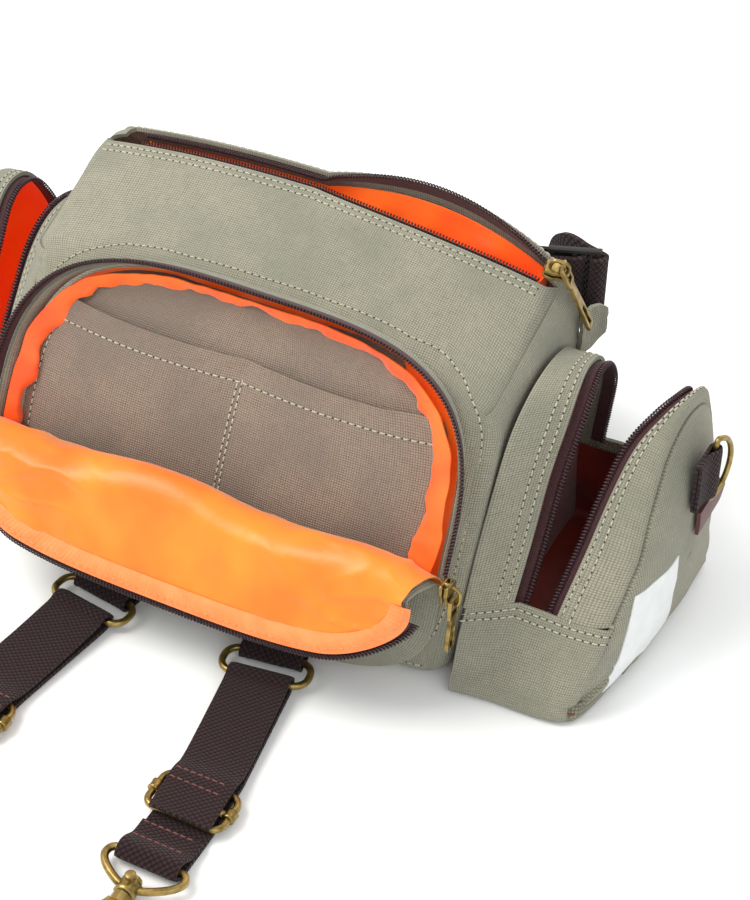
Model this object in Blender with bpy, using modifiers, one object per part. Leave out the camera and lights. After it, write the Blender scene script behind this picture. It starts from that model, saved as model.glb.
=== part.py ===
"""Hip pack in canvas: main bag, open front pocket, two side pockets, belt and two strap hooks.

The pack stands on its flat base.  X is its right, Y its back, Z is up, and the origin is the
middle of the base.  Lengths below are millimetres; they become metres where a mesh is made.
"""
from math import cos, pi, radians, sin

import bmesh
import bpy
from mathutils import Matrix, Vector

MM = 0.001

# Main bag: outline seen from the front, and the slope of its front wall
BODY_HALF_WIDTH = 101.0
BODY_SIDE_BULGE = 3.0
LEFT_SHOULDER = 17.0
LEFT_DROP_SHARE = 0.5
FRONT_FOOT_Y = -60.0
FRONT_TOP_Y = -9.0
FRONT_TOP_Z = 118.0
FRONT_CURVE = 1.8
BACK_Y = 60.0
ZIP_Y = 46.0
ROUNDING = 0.16
CANVAS = 1.8
LINING = 0.7

# Height of the top panel: from the front fold, over the zip, to the back edge
TOP_ROWS = (
    # share of depth, height in the middle, drop at the sides
    (-1.00, 118.0, 18.0),
    (-0.40, 126.5, 16.5),
    (0.25, 134.0, 15.0),
    (0.66, 137.0, 14.5),
    (0.84, 136.5, 15.0),
    (1.00, 132.5, 17.0),
)

# Dents and folds of the canvas: place in the front view, size and depth
DENT_ROWS = (
    # name, x, z, half width, half height, depth
    ("left shoulder", -62.0, 128.0, 26.0, 14.0, 2.5),
    ("right valley", 70.0, 112.0, 14.0, 20.0, 3.5),
    ("right fold", 88.0, 100.0, 9.0, 18.0, -2.5),
)

# Front pocket: horseshoe mouth above a fixed bucket
POCKET_HALF_WIDTH = 101.0
POCKET_HINGE_Z = 56.0
POCKET_RISE = 69.0
POCKET_DROP = 52.0
POCKET_ROUND = 3.5
POCKET_DEPTH = 15.0
BUCKET_DEPTH = 11.0
GUSSET_SHRINK = 0.955
TAPE_SHARE = 0.58
BUCKET_SHARE = 0.6
FOLD_RADIUS = 9.0
FOLD_TURN = 153.0
FLAP_REACH = 37.0
FLAP_ROUND = 3.2
FOLD_ARC = radians(FOLD_TURN) * FOLD_RADIUS

# Side pockets: outline seen from the side, from the front foot over the top to the back foot
ARCH_ROWS = (
    # y and z at the zip, y and z beside the bag, x of the inner and of the outer zip
    (-56.0, 0.0, -58.0, 0.0, 125.4, 131.7),
    (-51.0, 14.0, -56.0, 14.0, 125.4, 131.7),
    (-42.0, 27.0, -52.0, 27.0, 125.4, 131.7),
    (-36.0, 34.0, -48.5, 34.0, 125.4, 131.7),
    (-35.5, 34.7, -48.0, 34.7, 125.4, 131.8),
    (-19.0, 56.0, -38.0, 56.0, 125.0, 135.0),
    (-6.0, 75.0, -26.0, 76.0, 124.6, 137.7),
    (7.0, 90.0, -13.0, 93.0, 124.8, 141.0),
    (20.0, 99.0, 4.0, 102.0, 123.9, 146.8),
    (33.0, 101.0, 23.0, 104.0, 122.4, 151.0),
    (45.0, 96.0, 40.0, 99.0, 122.0, 151.5),
    (53.0, 82.0, 51.0, 84.0, 121.7, 147.0),
    (56.0, 62.0, 56.0, 62.0, 119.5, 139.0),
    (56.7, 45.7, 56.7, 45.7, 118.0, 132.0),
    (56.8, 45.0, 56.8, 45.0, 118.0, 132.0),
    (57.0, 22.0, 57.0, 22.0, 118.0, 132.0),
    (57.0, 0.0, 57.0, 0.0, 118.0, 132.0),
    (20.0, 0.0, 20.0, 0.0, 122.0, 132.0),
    (-20.0, 0.0, -20.0, 0.0, 124.0, 132.0),
)
ARCH_FRONT_FOOT = 3
ARCH_BACK_FOOT = 14
ARCH_BASE = 16
ARCH_CENTRE = (20.0, 36.0)
SIDE_X = 105.2
ZIP_NEAR_X = 121.0
LEFT_OPENING = 0.6
FACE_FRONT_X = 152.0
FACE_BACK_X = 165.5
FACE_CURVE = 0.35
FACE_LEAN = 0.12
FACE_LEAN_Z = 58.0

# Straps, belt and metal fittings
WEBBING = 25.0
WEBBING_THICK = 1.6
BELT = 32.0
BELT_THICK = 2.0
BELT_Z = 105.5
STRAP_LINE = (
    # y, x of the strap's middle, how far it leans per millimetre
    (-165.0, 49.3, 0.0),
    (-140.0, 47.4, 0.15),
    (-87.5, 39.5, 0.15),
    (-60.0, 35.4, 0.15),
)
GLIDE_Y = -156.0
EYE_Y = -187.0
WIRE = 3.0
TAPE_WIDTH = 6.0
TAPE_THICK = 1.0
COIL = 2.6


def power(base, exponent):
    return max(base, 0.0) ** exponent


def mix(a, b, share):
    return a + (b - a) * share


def between(rows, column, value, key=0):
    """Column of a table at a value of its key column, on straight lines between the rows."""
    if value <= rows[0][key]:
        return rows[0][column]
    for low, high in zip(rows, rows[1:]):
        if value <= high[key]:
            share = (value - low[key]) / (high[key] - low[key])
            return mix(low[column], high[column], share)
    return rows[-1][column]


def smooth_path(points, count):
    """Evenly numbered points on a smooth curve through the given ones."""
    pts = [Vector(p) for p in points]
    ends = [pts[0] * 2 - pts[1]] + pts + [pts[-1] * 2 - pts[-2]]
    result = []
    for step in range(count):
        place = step / (count - 1) * (len(pts) - 1)
        i = min(int(place), len(pts) - 2)
        t = place - i
        a, b, c, d = ends[i:i + 4]
        result.append(0.5 * (b * 2 + (c - a) * t + (a * 2 - b * 5 + c * 4 - d) * t ** 2
                             + (b * 3 - a - c * 3 + d) * t ** 3))
    return result


def clear_scene():
    for obj in list(bpy.data.objects):
        bpy.data.objects.remove(obj, do_unlink=True)


def new_collection(name):
    collection = bpy.data.collections.new(name)
    bpy.context.scene.collection.children.link(collection)
    return collection


def finish(name, colour, roughness, metallic=0.0):
    material = bpy.data.materials.new(name)
    material.use_nodes = True
    shader = material.node_tree.nodes["Principled BSDF"]
    shader.inputs["Base Color"].default_value = (*colour, 1.0)
    shader.inputs["Roughness"].default_value = roughness
    shader.inputs["Metallic"].default_value = metallic
    return material


clear_scene()
PARTS = new_collection("hip_pack")
CUTTERS = new_collection("cutters")
CANVAS_FINISH = finish("cotton_canvas", (0.36, 0.36, 0.28), 0.9)
INNER_FINISH = finish("inner_canvas", (0.26, 0.22, 0.19), 0.9)
LINING_FINISH = finish("satin_lining", (1.0, 0.13, 0.01), 0.4)
WEBBING_FINISH = finish("cotton_webbing", (0.03, 0.012, 0.012), 0.8)
ZIP_FINISH = finish("zip_tape", (0.035, 0.01, 0.012), 0.6)
BRASS_FINISH = finish("antique_brass", (0.32, 0.22, 0.08), 0.35, 1.0)
PLASTIC_FINISH = finish("black_plastic", (0.02, 0.02, 0.018), 0.4)
LEATHER_FINISH = finish("brown_leather", (0.06, 0.02, 0.018), 0.6)
LABEL_FINISH = finish("woven_label", (0.8, 0.8, 0.78), 0.8)


def add_mesh(name, verts, faces, material, collection=PARTS):
    mesh = bpy.data.meshes.new(name)
    mesh.from_pydata([Vector(v) * MM for v in verts], [], faces)
    mesh.update()
    mesh.shade_smooth()
    mesh.materials.append(material)
    obj = bpy.data.objects.new(name, mesh)
    collection.objects.link(obj)
    return obj


def loft(name, rows, material, closed=False, capped=False):
    """Surface through rows of points.  closed joins each row's ends, capped fills both end rows."""
    width = len(rows[0])
    verts = [p for row in rows for p in row]
    faces = []
    for r in range(len(rows) - 1):
        for c in range(width if closed else width - 1):
            d = (c + 1) % width
            faces.append((r * width + c, r * width + d, (r + 1) * width + d, (r + 1) * width + c))
    if capped:
        faces.append(tuple(reversed(range(width))))
        faces.append(tuple(range((len(rows) - 1) * width, len(rows) * width)))
    return add_mesh(name, verts, faces, material)


def merge(obj, distance=0.01):
    bm = bmesh.new()
    bm.from_mesh(obj.data)
    bmesh.ops.remove_doubles(bm, verts=bm.verts, dist=distance * MM)
    bmesh.ops.recalc_face_normals(bm, faces=bm.faces)
    bm.to_mesh(obj.data)
    bm.free()
    return obj


def face_towards(obj, direction):
    """Turn a sheet's normals so that its middle face looks along a direction."""
    bm = bmesh.new()
    bm.from_mesh(obj.data)
    bmesh.ops.recalc_face_normals(bm, faces=bm.faces)
    total = Vector((0.0, 0.0, 0.0))
    for face in bm.faces:
        total += face.normal * face.calc_area()
    if total.dot(Vector(direction)) < 0.0:
        bmesh.ops.reverse_faces(bm, faces=bm.faces)
    bm.to_mesh(obj.data)
    bm.free()
    return obj


def thicken(obj, thickness, offset=-1.0):
    wall = obj.modifiers.new("wall", "SOLIDIFY")
    wall.thickness = thickness * MM
    wall.offset = offset
    return obj


def ribbon(name, path, width, thick, across, material):
    """Flat band along a path; across gives the direction of its width at each point."""
    rows = []
    for i, point in enumerate(path):
        ahead = (path[min(i + 1, len(path) - 1)] - path[max(i - 1, 0)]).normalized()
        side = Vector(across(i / (len(path) - 1)))
        side = (side - ahead * side.dot(ahead)).normalized()
        up = side.cross(ahead)
        rows.append([point + side * sx * width / 2 + up * sz * thick / 2
                     for sx, sz in ((-1, -1), (1, -1), (1, 1), (-1, 1))])
    return merge(loft(name, rows, material, closed=True, capped=True))


def zip_half(name, path, across, up):
    """Tape with its coil at the far edge, swept along a path that runs down the tape's middle."""
    half = TAPE_WIDTH / 2
    thin = TAPE_THICK / 2
    bump = COIL / 2
    profile = ((-half, -thin), (half - COIL, -thin), (half, -bump), (half, bump), (half - COIL, thin),
               (-half, thin))
    rows = []
    for i, point in enumerate(path):
        ahead = (path[min(i + 1, len(path) - 1)] - path[max(i - 1, 0)]).normalized()
        side = Vector(across[i])
        side = (side - ahead * side.dot(ahead)).normalized()
        top = Vector(up[i])
        top = (top - ahead * top.dot(ahead) - side * top.dot(side)).normalized()
        rows.append([point + side * a + top * b for a, b in profile])
    return merge(loft(name, rows, ZIP_FINISH, closed=True, capped=True))


def wire(name, points, diameter, cyclic, material, collection=PARTS):
    curve = bpy.data.curves.new(name, "CURVE")
    curve.dimensions = "3D"
    curve.bevel_depth = diameter / 2 * MM
    curve.bevel_resolution = 2
    curve.use_fill_caps = not cyclic
    spline = curve.splines.new("POLY")
    spline.points.add(len(points) - 1)
    for slot, point in zip(spline.points, points):
        slot.co = (*(Vector(point) * MM), 1.0)
    spline.use_cyclic_u = cyclic
    curve.materials.append(material)
    obj = bpy.data.objects.new(name, curve)
    collection.objects.link(obj)
    return obj


def plate(name, outlines, thick, edge, material, place, collection=PARTS):
    """Flat outline with holes, given its thickness and a rounded edge, and put in place."""
    curve = bpy.data.curves.new(name, "CURVE")
    curve.dimensions = "2D"
    curve.fill_mode = "BOTH"
    curve.extrude = (thick / 2 - edge) * MM
    curve.bevel_depth = edge * MM
    curve.bevel_resolution = 0
    curve.offset = -edge * MM
    for outline in outlines:
        spline = curve.splines.new("POLY")
        spline.points.add(len(outline) - 1)
        for slot, (x, y) in zip(spline.points, outline):
            slot.co = (x * MM, y * MM, 0.0, 1.0)
        spline.use_cyclic_u = True
    curve.materials.append(material)
    obj = bpy.data.objects.new(name, curve)
    obj.matrix_world = place
    collection.objects.link(obj)
    return as_mesh(obj)


def as_mesh(obj):
    """Replace a curve object by its welded mesh."""
    bpy.context.view_layer.update()
    evaluated = obj.evaluated_get(bpy.context.evaluated_depsgraph_get())
    mesh = bpy.data.meshes.new_from_object(evaluated)
    mesh.transform(obj.matrix_world)
    name = obj.name
    collection = obj.users_collection[0]
    bpy.data.objects.remove(obj, do_unlink=True)
    bm = bmesh.new()
    bm.from_mesh(mesh)
    bmesh.ops.remove_doubles(bm, verts=bm.verts, dist=0.005 * MM)
    bmesh.ops.recalc_face_normals(bm, faces=bm.faces)
    bm.to_mesh(mesh)
    bm.free()
    new = bpy.data.objects.new(name, mesh)
    collection.objects.link(new)
    return new


def set_origin(obj, point):
    """Move an object's origin to a point of the part, and leave its shape where it is."""
    place = Vector(point) * MM
    obj.data.transform(Matrix.Translation(-place))
    obj.location = place


def cylinder(name, start, end, diameter, material, sides=16, collection=PARTS):
    start, end = Vector(start), Vector(end)
    mesh = bpy.data.meshes.new(name)
    bm = bmesh.new()
    turn = (end - start).to_track_quat("Z", "Y").to_matrix().to_4x4()
    place = Matrix.Translation((start + end) / 2 * MM) @ turn
    bmesh.ops.create_cone(bm, cap_ends=True, segments=sides, radius1=diameter / 2 * MM,
                          radius2=diameter / 2 * MM, depth=(end - start).length * MM, matrix=place)
    bm.to_mesh(mesh)
    bm.free()
    mesh.materials.append(material)
    obj = bpy.data.objects.new(name, mesh)
    collection.objects.link(obj)
    return obj


def block(name, size, centre, edge, material, collection=PARTS):
    mesh = bpy.data.meshes.new(name)
    bm = bmesh.new()
    bmesh.ops.create_cube(bm, size=1.0)
    bmesh.ops.scale(bm, vec=Vector(size) * MM, verts=bm.verts)
    bmesh.ops.translate(bm, vec=Vector(centre) * MM, verts=bm.verts)
    if edge:
        bmesh.ops.bevel(bm, geom=bm.edges, offset=edge * MM, segments=2, affect="EDGES", profile=0.5)
    bm.to_mesh(mesh)
    bm.free()
    mesh.materials.append(material)
    obj = bpy.data.objects.new(name, mesh)
    collection.objects.link(obj)
    return obj


def combine(target, other, operation):
    """Cut or join another object into the target, and keep the other as a wire guide."""
    for old in list(other.users_collection):
        old.objects.unlink(other)
    CUTTERS.objects.link(other)
    other.hide_render = True
    other.display_type = "WIRE"
    step = target.modifiers.new(operation.lower(), "BOOLEAN")
    step.operation = operation
    step.solver = "EXACT"
    step.object = other
    return target


# Main bag

def front_y(z):
    return FRONT_FOOT_Y + (FRONT_TOP_Y - FRONT_FOOT_Y) * power(z / FRONT_TOP_Z, FRONT_CURVE)


def dents(x, z):
    depth = 0.0
    for _name, cx, cz, half_width, half_height, size in DENT_ROWS:
        reach = ((x - cx) / half_width) ** 2 + ((z - cz) / half_height) ** 2
        depth += size * max(0.0, 1.0 - reach) ** 2
    return depth


def top_z(x, share):
    drop = between(TOP_ROWS, 2, share) * power(abs(x) / 100.0, 2.4)
    if x < 0.0:
        drop *= LEFT_DROP_SHARE
    return between(TOP_ROWS, 1, share) - drop


def body_point(u, v, w, inset=0.0):
    """Point of the bag from a place on a cube whose sides run from -1 to 1."""
    cube = Vector((u, v, w))
    core = Vector([max(ROUNDING - 1, min(1 - ROUNDING, c)) for c in cube])
    spare = cube - core
    if spare.length > 0.0:
        cube = core + spare.normalized() * ROUNDING
    u, v, w = cube
    level = (w + 1) / 2
    shoulder = LEFT_SHOULDER * power(-u, 3) * level ** 16 * (1.0 - power(v, 4))
    x = u * (BODY_HALF_WIDTH - inset + BODY_SIDE_BULGE * sin(pi * level) + shoulder)
    z = inset + level * (top_z(x, v) - 2 * inset)
    front = front_y(z) + inset + 7.0 * power(abs(u), 4) * z / FRONT_TOP_Z + dents(x, z)
    back = BACK_Y - inset - 1.5 * power(z / 130.0, 4)
    return Vector((x, mix(front, back, (v + 1) / 2), z))


def zip_lean(x):
    """How far the open right part of the zip stands apart, from 0 to 1."""
    return power(sin(pi * min(1.0, max(0.0, (x + 6.0) / 102.0))), 0.8)


def slit_edge(x, back, inset=0.0):
    """Canvas edge beside the top zip: the front one lies flat, the back one stands open."""
    height = top_z(x, 0.66) - inset
    if back:
        lean_back = ZIP_Y + 5.6 + 5.0 * zip_lean(x) - 0.85 * inset
        return Vector((x, lean_back, height - 0.5 + 6.0 * zip_lean(x)))
    return Vector((x, ZIP_Y - 5.6 - 3.0 * zip_lean(x), height - 1.0 - 1.0 * zip_lean(x)))


SLIT_FRONT = 0.56
SLIT_BACK = 0.80
SLIT_END = 0.90


def bag_shell(name, across, inset, thickness, material):
    """Rounded box of canvas with a long slit for the zip in its top."""
    us = [-1 + 2 * i / across for i in range(across + 1)]
    us[1], us[-2] = -SLIT_END, SLIT_END
    flat = 1.0 - ROUNDING
    vs = [-1.0, -flat, -0.35, 0.1, SLIT_FRONT, SLIT_BACK, 1.0]
    ws = [-1.0, -flat, 0.0, 0.7, flat, 1.0]
    bm = bmesh.new()

    def patch(rows):
        verts = [[bm.verts.new(p * MM) for p in row] for row in rows]
        for r in range(len(rows) - 1):
            for c in range(len(rows[0]) - 1):
                bm.faces.new((verts[r][c], verts[r][c + 1], verts[r + 1][c + 1], verts[r + 1][c]))

    def top(u, v):
        point = body_point(u, v, 1, inset)
        if abs(u) <= SLIT_END + 0.001 and v in (SLIT_FRONT, SLIT_BACK):
            return slit_edge(point.x, v == SLIT_BACK, min(inset, 6.8))
        return point

    for pair in zip(vs, vs[1:]):
        if pair[0] == SLIT_FRONT:
            patch([[top(u, v) for v in pair] for u in us[:2]])
            patch([[top(u, v) for v in pair] for u in us[-2:]])
        else:
            patch([[top(u, v) for v in pair] for u in us])
    patch([[body_point(u, v, -1, inset) for v in vs] for u in us])
    for v in (-1, 1):
        patch([[body_point(u, v, w, inset) for w in ws] for u in us])
    for u in (-1, 1):
        patch([[body_point(u, v, w, inset) for w in ws] for v in vs])
    bmesh.ops.remove_doubles(bm, verts=bm.verts, dist=0.05 * MM)
    bmesh.ops.recalc_face_normals(bm, faces=bm.faces)
    mesh = bpy.data.meshes.new(name)
    bm.to_mesh(mesh)
    bm.free()
    mesh.materials.append(material)
    mesh.shade_smooth()
    obj = bpy.data.objects.new(name, mesh)
    PARTS.objects.link(obj)
    return thicken(obj, thickness)


def main_zip(name, back):
    steps = 13
    reach = 88.0
    path, across, up = [], [], []
    for i in range(steps + 1):
        x = mix(-reach, reach, i / steps)
        edge = slit_edge(x, back)
        rise = radians(30.0 + 42.0 * zip_lean(x)) if back else radians(6.0)
        facing = -1 if back else 1
        towards = Vector((0, facing * cos(rise), sin(rise)))
        outward = Vector((0, -facing * sin(rise), cos(rise)))
        path.append(edge + towards * (TAPE_WIDTH / 2 - 0.9) - outward * (2.0 + CANVAS))
        across.append(towards)
        up.append(outward)
    return zip_half(name, path, across, up)


bag_shell("main_bag_canvas", 14, 0.0, CANVAS, CANVAS_FINISH)
bag_shell("main_bag_lining", 8, 8.0, LINING, LINING_FINISH)
main_zip("main_zip_front_half", False)
main_zip("main_zip_back_half", True)


# Front pocket: the mouth stands off the front wall, the bucket's front folds out as the flap

def ring_point(angle, wide, rise, drop):
    """Rounded outline in the front view, counted from the right end of the hinge line."""
    c, s = cos(angle), sin(angle)
    scale = (abs(c) ** POCKET_ROUND + abs(s) ** POCKET_ROUND) ** (-1 / POCKET_ROUND)
    return wide * c * scale, POCKET_HINGE_Z + (rise if s > 0 else drop) * s * scale


def mouth_y(z):
    if z > POCKET_HINGE_Z:
        return front_y(z) - POCKET_DEPTH
    low = FRONT_FOOT_Y - BUCKET_DEPTH
    high = front_y(POCKET_HINGE_Z) - POCKET_DEPTH
    return mix(low, high, power(z / POCKET_HINGE_Z, 1.2))


def wall_clear(x, z):
    """The bag's corners fall back a little, and what is sewn to the wall follows them."""
    return 7.0 * power(abs(x) / BODY_HALF_WIDTH, 4) * z / FRONT_TOP_Z


def gusset_point(angle, share, inset=0.0):
    """Point of the pocket's side band, from its seam on the bag (0) to the mouth (1)."""
    shrink = GUSSET_SHRINK
    x0, z0 = ring_point(angle, POCKET_HALF_WIDTH * shrink - inset, POCKET_RISE * 0.93 - inset,
                        POCKET_DROP * 0.97 - inset)
    x1, z1 = ring_point(angle, POCKET_HALF_WIDTH - inset, POCKET_RISE - inset, POCKET_DROP - inset)
    seam = Vector((x0, front_y(z0) - 1.2, z0))
    mouth = Vector((x1, mouth_y(z1), z1))
    return seam.lerp(mouth, share)


def gusset_end(angle):
    """Share of the band that is cloth: all of it in the bucket, less where the zip tape goes on."""
    _x, z = ring_point(angle, POCKET_HALF_WIDTH, POCKET_RISE, POCKET_DROP)
    return mix(BUCKET_SHARE, TAPE_SHARE, min(1.0, max(0.0, (z - POCKET_HINGE_Z + 12.0) / 8.0)))


def pocket_gusset(name, inset, thickness, material, keep, count):
    rows = []
    for i in range(count):
        angle = 2 * pi * (i + 0.5) / count
        end = gusset_end(angle) * keep
        rows.append([gusset_point(angle, end * k / 2, inset) for k in range(3)])
    rows.append(rows[0])
    obj = merge(loft(name, rows, material))
    out = obj.data.polygons[len(obj.data.polygons) // 4]
    if out.normal.z < 0.0:
        obj.data.flip_normals()
    return thicken(obj, thickness)


def fold_path(distance, inset=0.0):
    """Front panel from the side: up the bucket, over the fold and down the open flap."""
    top = Vector((0, mouth_y(POCKET_HINGE_Z), POCKET_HINGE_Z))
    if distance <= 0.0:
        z = POCKET_HINGE_Z + distance
        return Vector((0, mouth_y(z) - inset, z))
    radius = FOLD_RADIUS - inset
    arc = radians(FOLD_TURN) * FOLD_RADIUS
    centre = top + Vector((0, -FOLD_RADIUS, 0))
    turn = min(distance, arc) / FOLD_RADIUS
    point = centre + Vector((0, cos(turn) * radius, sin(turn) * radius))
    if distance > arc:
        point += Vector((0, -sin(turn), cos(turn))) * (distance - arc)
    return point


def panel_half_width(distance, tape=0.0):
    """Half width of the front panel; tape is what the zip takes off the flap's edge."""
    if distance <= 0.0:
        fall = min(1.0, -distance / POCKET_DROP)
        return POCKET_HALF_WIDTH * power(1 - fall ** POCKET_ROUND, 1 / POCKET_ROUND)
    run = min(1.0, max(0.0, distance - FOLD_ARC) / (FLAP_REACH - tape))
    taper = min(1.0, distance / FOLD_ARC)
    return (POCKET_HALF_WIDTH - tape * taper) * power(1 - run ** FLAP_ROUND, 1 / FLAP_ROUND)


def panel_point(x, distance, inset=0.0):
    point = fold_path(distance, inset)
    run = max(0.0, distance - FOLD_ARC) / FLAP_REACH
    pull = power((abs(x) - 66.0) / 34.0, 2) * 19.0 * run
    crest = sin(pi * min(1.0, max(0.0, distance / FOLD_ARC)))
    wave = crest * (3.0 * cos(x * pi / 46.0 + 0.9) - 6.0 * power(abs(x) / 100.0, 3))
    return Vector((x, point.y + pull, point.z + wave))


def pocket_panel(name, inset, trim, thickness, material):
    stops = [-51.0, -47.0, -30.0, 0.0]
    stops += [FOLD_ARC * k / 4 for k in range(1, 5)]
    stops += [FOLD_ARC + (FLAP_REACH - TAPE_WIDTH) * share for share in (0.45, 0.8, 0.95)]
    rows = []
    for stop in stops:
        wide = panel_half_width(stop, TAPE_WIDTH) - trim
        rows.append([panel_point(wide * sin(pi * k / 12), stop, inset) for k in range(-6, 7)])
    obj = merge(loft(name, rows, material))
    return thicken(face_towards(obj, (0, -1, 0)), thickness)


def mouth_zip(name):
    steps = 22
    path, across, up = [], [], []
    for i in range(steps + 1):
        angle = mix(0.04, pi - 0.04, i / steps)
        inner = gusset_point(angle, TAPE_SHARE)
        outer = gusset_point(angle, 1.0)
        direction = (outer - inner).normalized()
        x, z = ring_point(angle, 1.0, 1.0, 1.0)
        path.append(inner + direction * (TAPE_WIDTH / 2 + 0.5))
        across.append(direction)
        up.append((x, 0, z - POCKET_HINGE_Z))
    return zip_half(name, path, across, up)


def flap_edge(turn, inset):
    """Point of the flap's rounded edge, counted from its right end, set in by the inset."""
    c = abs(cos(turn)) ** (2 / FLAP_ROUND)
    run = abs(sin(turn)) ** (2 / FLAP_ROUND)
    x = (POCKET_HALF_WIDTH - inset) * c * (1 if cos(turn) >= 0.0 else -1)
    return panel_point(x, FOLD_ARC + (FLAP_REACH - inset) * run)


def flap_zip(name):
    """Tape round the flap's edge, from the slider at the right end to the left end."""
    steps = 20
    path, across, up = [], [], []
    for i in range(1, steps):
        turn = pi * i / steps
        inner = flap_edge(turn, TAPE_WIDTH - 0.8)
        outer = flap_edge(turn, 0.0)
        path.append((inner + outer) / 2)
        across.append(outer - inner)
        up.append((0, -0.85, 0.5))
    return zip_half(name, path, across, up)


def wall_width(z):
    """Half width of the front wall inside the pocket, clear of the side band and its lining."""
    reach = abs(z - POCKET_HINGE_Z) / ((POCKET_RISE if z > POCKET_HINGE_Z else POCKET_DROP) - 8.0)
    return (POCKET_HALF_WIDTH * GUSSET_SHRINK - 7.0) * power(1 - reach ** POCKET_ROUND, 1 / POCKET_ROUND)


def wall_sheet(name, low, high, stand_off, sag, thickness, material):
    """Sheet of canvas that lies on the bag's front wall inside the pocket."""
    rows = []
    for k in range(6):
        z = mix(low, high, 1 - (1 - k / 5) ** 1.3)
        row = []
        for i in range(-5, 6):
            share = i / 5
            x = wall_width(z) * share
            belly = sag * abs(sin(pi * share)) * power(k / 5, 1.5)
            row.append(Vector((x, front_y(z) + wall_clear(x, z) + dents(x, z) - stand_off - belly, z)))
        rows.append(row)
    obj = loft(name, rows, material)
    return thicken(face_towards(obj, (0, -1, 0)), thickness, 1.0)


pocket_gusset("front_pocket_gusset", 0.0, CANVAS, CANVAS_FINISH, 1.0, 32)
pocket_gusset("front_pocket_gusset_lining", 2.8, LINING, LINING_FINISH, 0.97, 24)
pocket_panel("front_pocket_panel", 0.0, 0.0, 1.2, CANVAS_FINISH)
pocket_panel("front_pocket_panel_lining", -2.0, 1.2, LINING, LINING_FINISH)
mouth_zip("front_zip_mouth_half")
flap_zip("front_zip_flap_half")
wall_sheet("pocket_back_panel", 14.0, 112.0, 0.9, 0.0, 0.6, INNER_FINISH)
wall_sheet("slip_pocket_panel", 14.0, 99.0, 2.2, 3.0, 1.2, INNER_FINISH)


# Side pockets: an inner half sewn beside the bag and an outer cup, with an open zip between them

def side_point(index, x, shrink=1.0):
    zip_y, zip_z, body_y, body_z = ARCH_ROWS[index][:4]
    share = min(1.0, max(0.0, (x - SIDE_X) / (ZIP_NEAR_X - SIDE_X)))
    y, z = mix(body_y, zip_y, share), mix(body_z, zip_z, share)
    cy, cz = ARCH_CENTRE
    return Vector((x, mix(cy, y, shrink), mix(cz, z, shrink)))


def zip_in_x(index):
    return ARCH_ROWS[index][4]


def zip_out_x(index, sign):
    """The left pocket's zip stands less open than the right one's."""
    opening = 1.0 if sign > 0 else LEFT_OPENING
    return mix(ARCH_ROWS[index][4], ARCH_ROWS[index][5], opening)


def face_x(index, shrink=1.0):
    """Outer face, which comes forward at the front and leans in towards the top."""
    y = mix(ARCH_CENTRE[0], ARCH_ROWS[index][0], shrink)
    z = mix(ARCH_CENTRE[1], ARCH_ROWS[index][1], shrink)
    share = min(1.0, max(0.0, (y + 56.0) / 90.0))
    lean = FACE_LEAN * max(0.0, z - FACE_LEAN_Z)
    return mix(FACE_FRONT_X, FACE_BACK_X, power(share, FACE_CURVE)) - lean


def mirrored(points, sign):
    return [Vector((p.x * sign, p.y, p.z)) for p in points]


def open_part(index):
    return ARCH_FRONT_FOOT < index < ARCH_BACK_FOOT


def outer_half(name, sign):
    """Cup of the pocket: base, outer face, and the band up to the zip's outer tape."""
    rows = []
    count = len(ARCH_ROWS)
    edge = [zip_out_x(i, sign) + TAPE_WIDTH - 0.6 if open_part(i) else SIDE_X for i in range(count)]
    rows.append([side_point(i, edge[i]) for i in range(count)])
    for share, shrink in ((0.65, 0.985), (1.0, 0.87)):
        rows.append([])
        for i in range(count):
            x = mix(zip_out_x(i, sign) + TAPE_WIDTH, face_x(i), share)
            rows[-1].append(side_point(i, x, shrink if i <= ARCH_BASE else 1.0 - (1 - shrink) * 0.4))
    for bulge, shrink in ((3.0, 0.55), (4.5, 0.1)):
        rows.append([side_point(i, face_x(i, shrink) + bulge, shrink)
                     for i in range(count)])
    rows = [mirrored(row, sign) for row in rows]
    obj = loft(name, rows, CANVAS_FINISH, closed=True)
    bm = bmesh.new()
    bm.from_mesh(obj.data)
    bm.verts.ensure_lookup_table()
    last = (len(rows) - 1) * count
    bm.faces.new([bm.verts[last + i] for i in range(count)])
    bmesh.ops.recalc_face_normals(bm, faces=bm.faces)
    bm.to_mesh(obj.data)
    bm.free()
    return thicken(face_towards(obj, (sign, 0, 0)), CANVAS)


def inner_half(name, sign):
    rows = []
    for i in range(ARCH_FRONT_FOOT + 1, ARCH_BACK_FOOT):
        edge = zip_in_x(i) - TAPE_WIDTH + 0.6
        rows.append(mirrored([side_point(i, mix(SIDE_X, edge, k / 3)) for k in range(4)], sign))
    return thicken(face_towards(loft(name, rows, CANVAS_FINISH), (0, -1, 0)), CANVAS)


def side_lining(name, sign):
    """Satin sheet on the bag's side, seen through the open zip."""
    stations = (0, 2, 5, 7, 9, 11, 13, 15, 16, 18)
    rows = [mirrored([side_point(i, SIDE_X + 0.6, shrink) for i in stations], sign)
            for shrink in (0.93, 0.1)]
    return thicken(face_towards(loft(name, rows, LINING_FINISH, closed=True), (sign, 0, 0)), LINING, 1.0)


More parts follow.
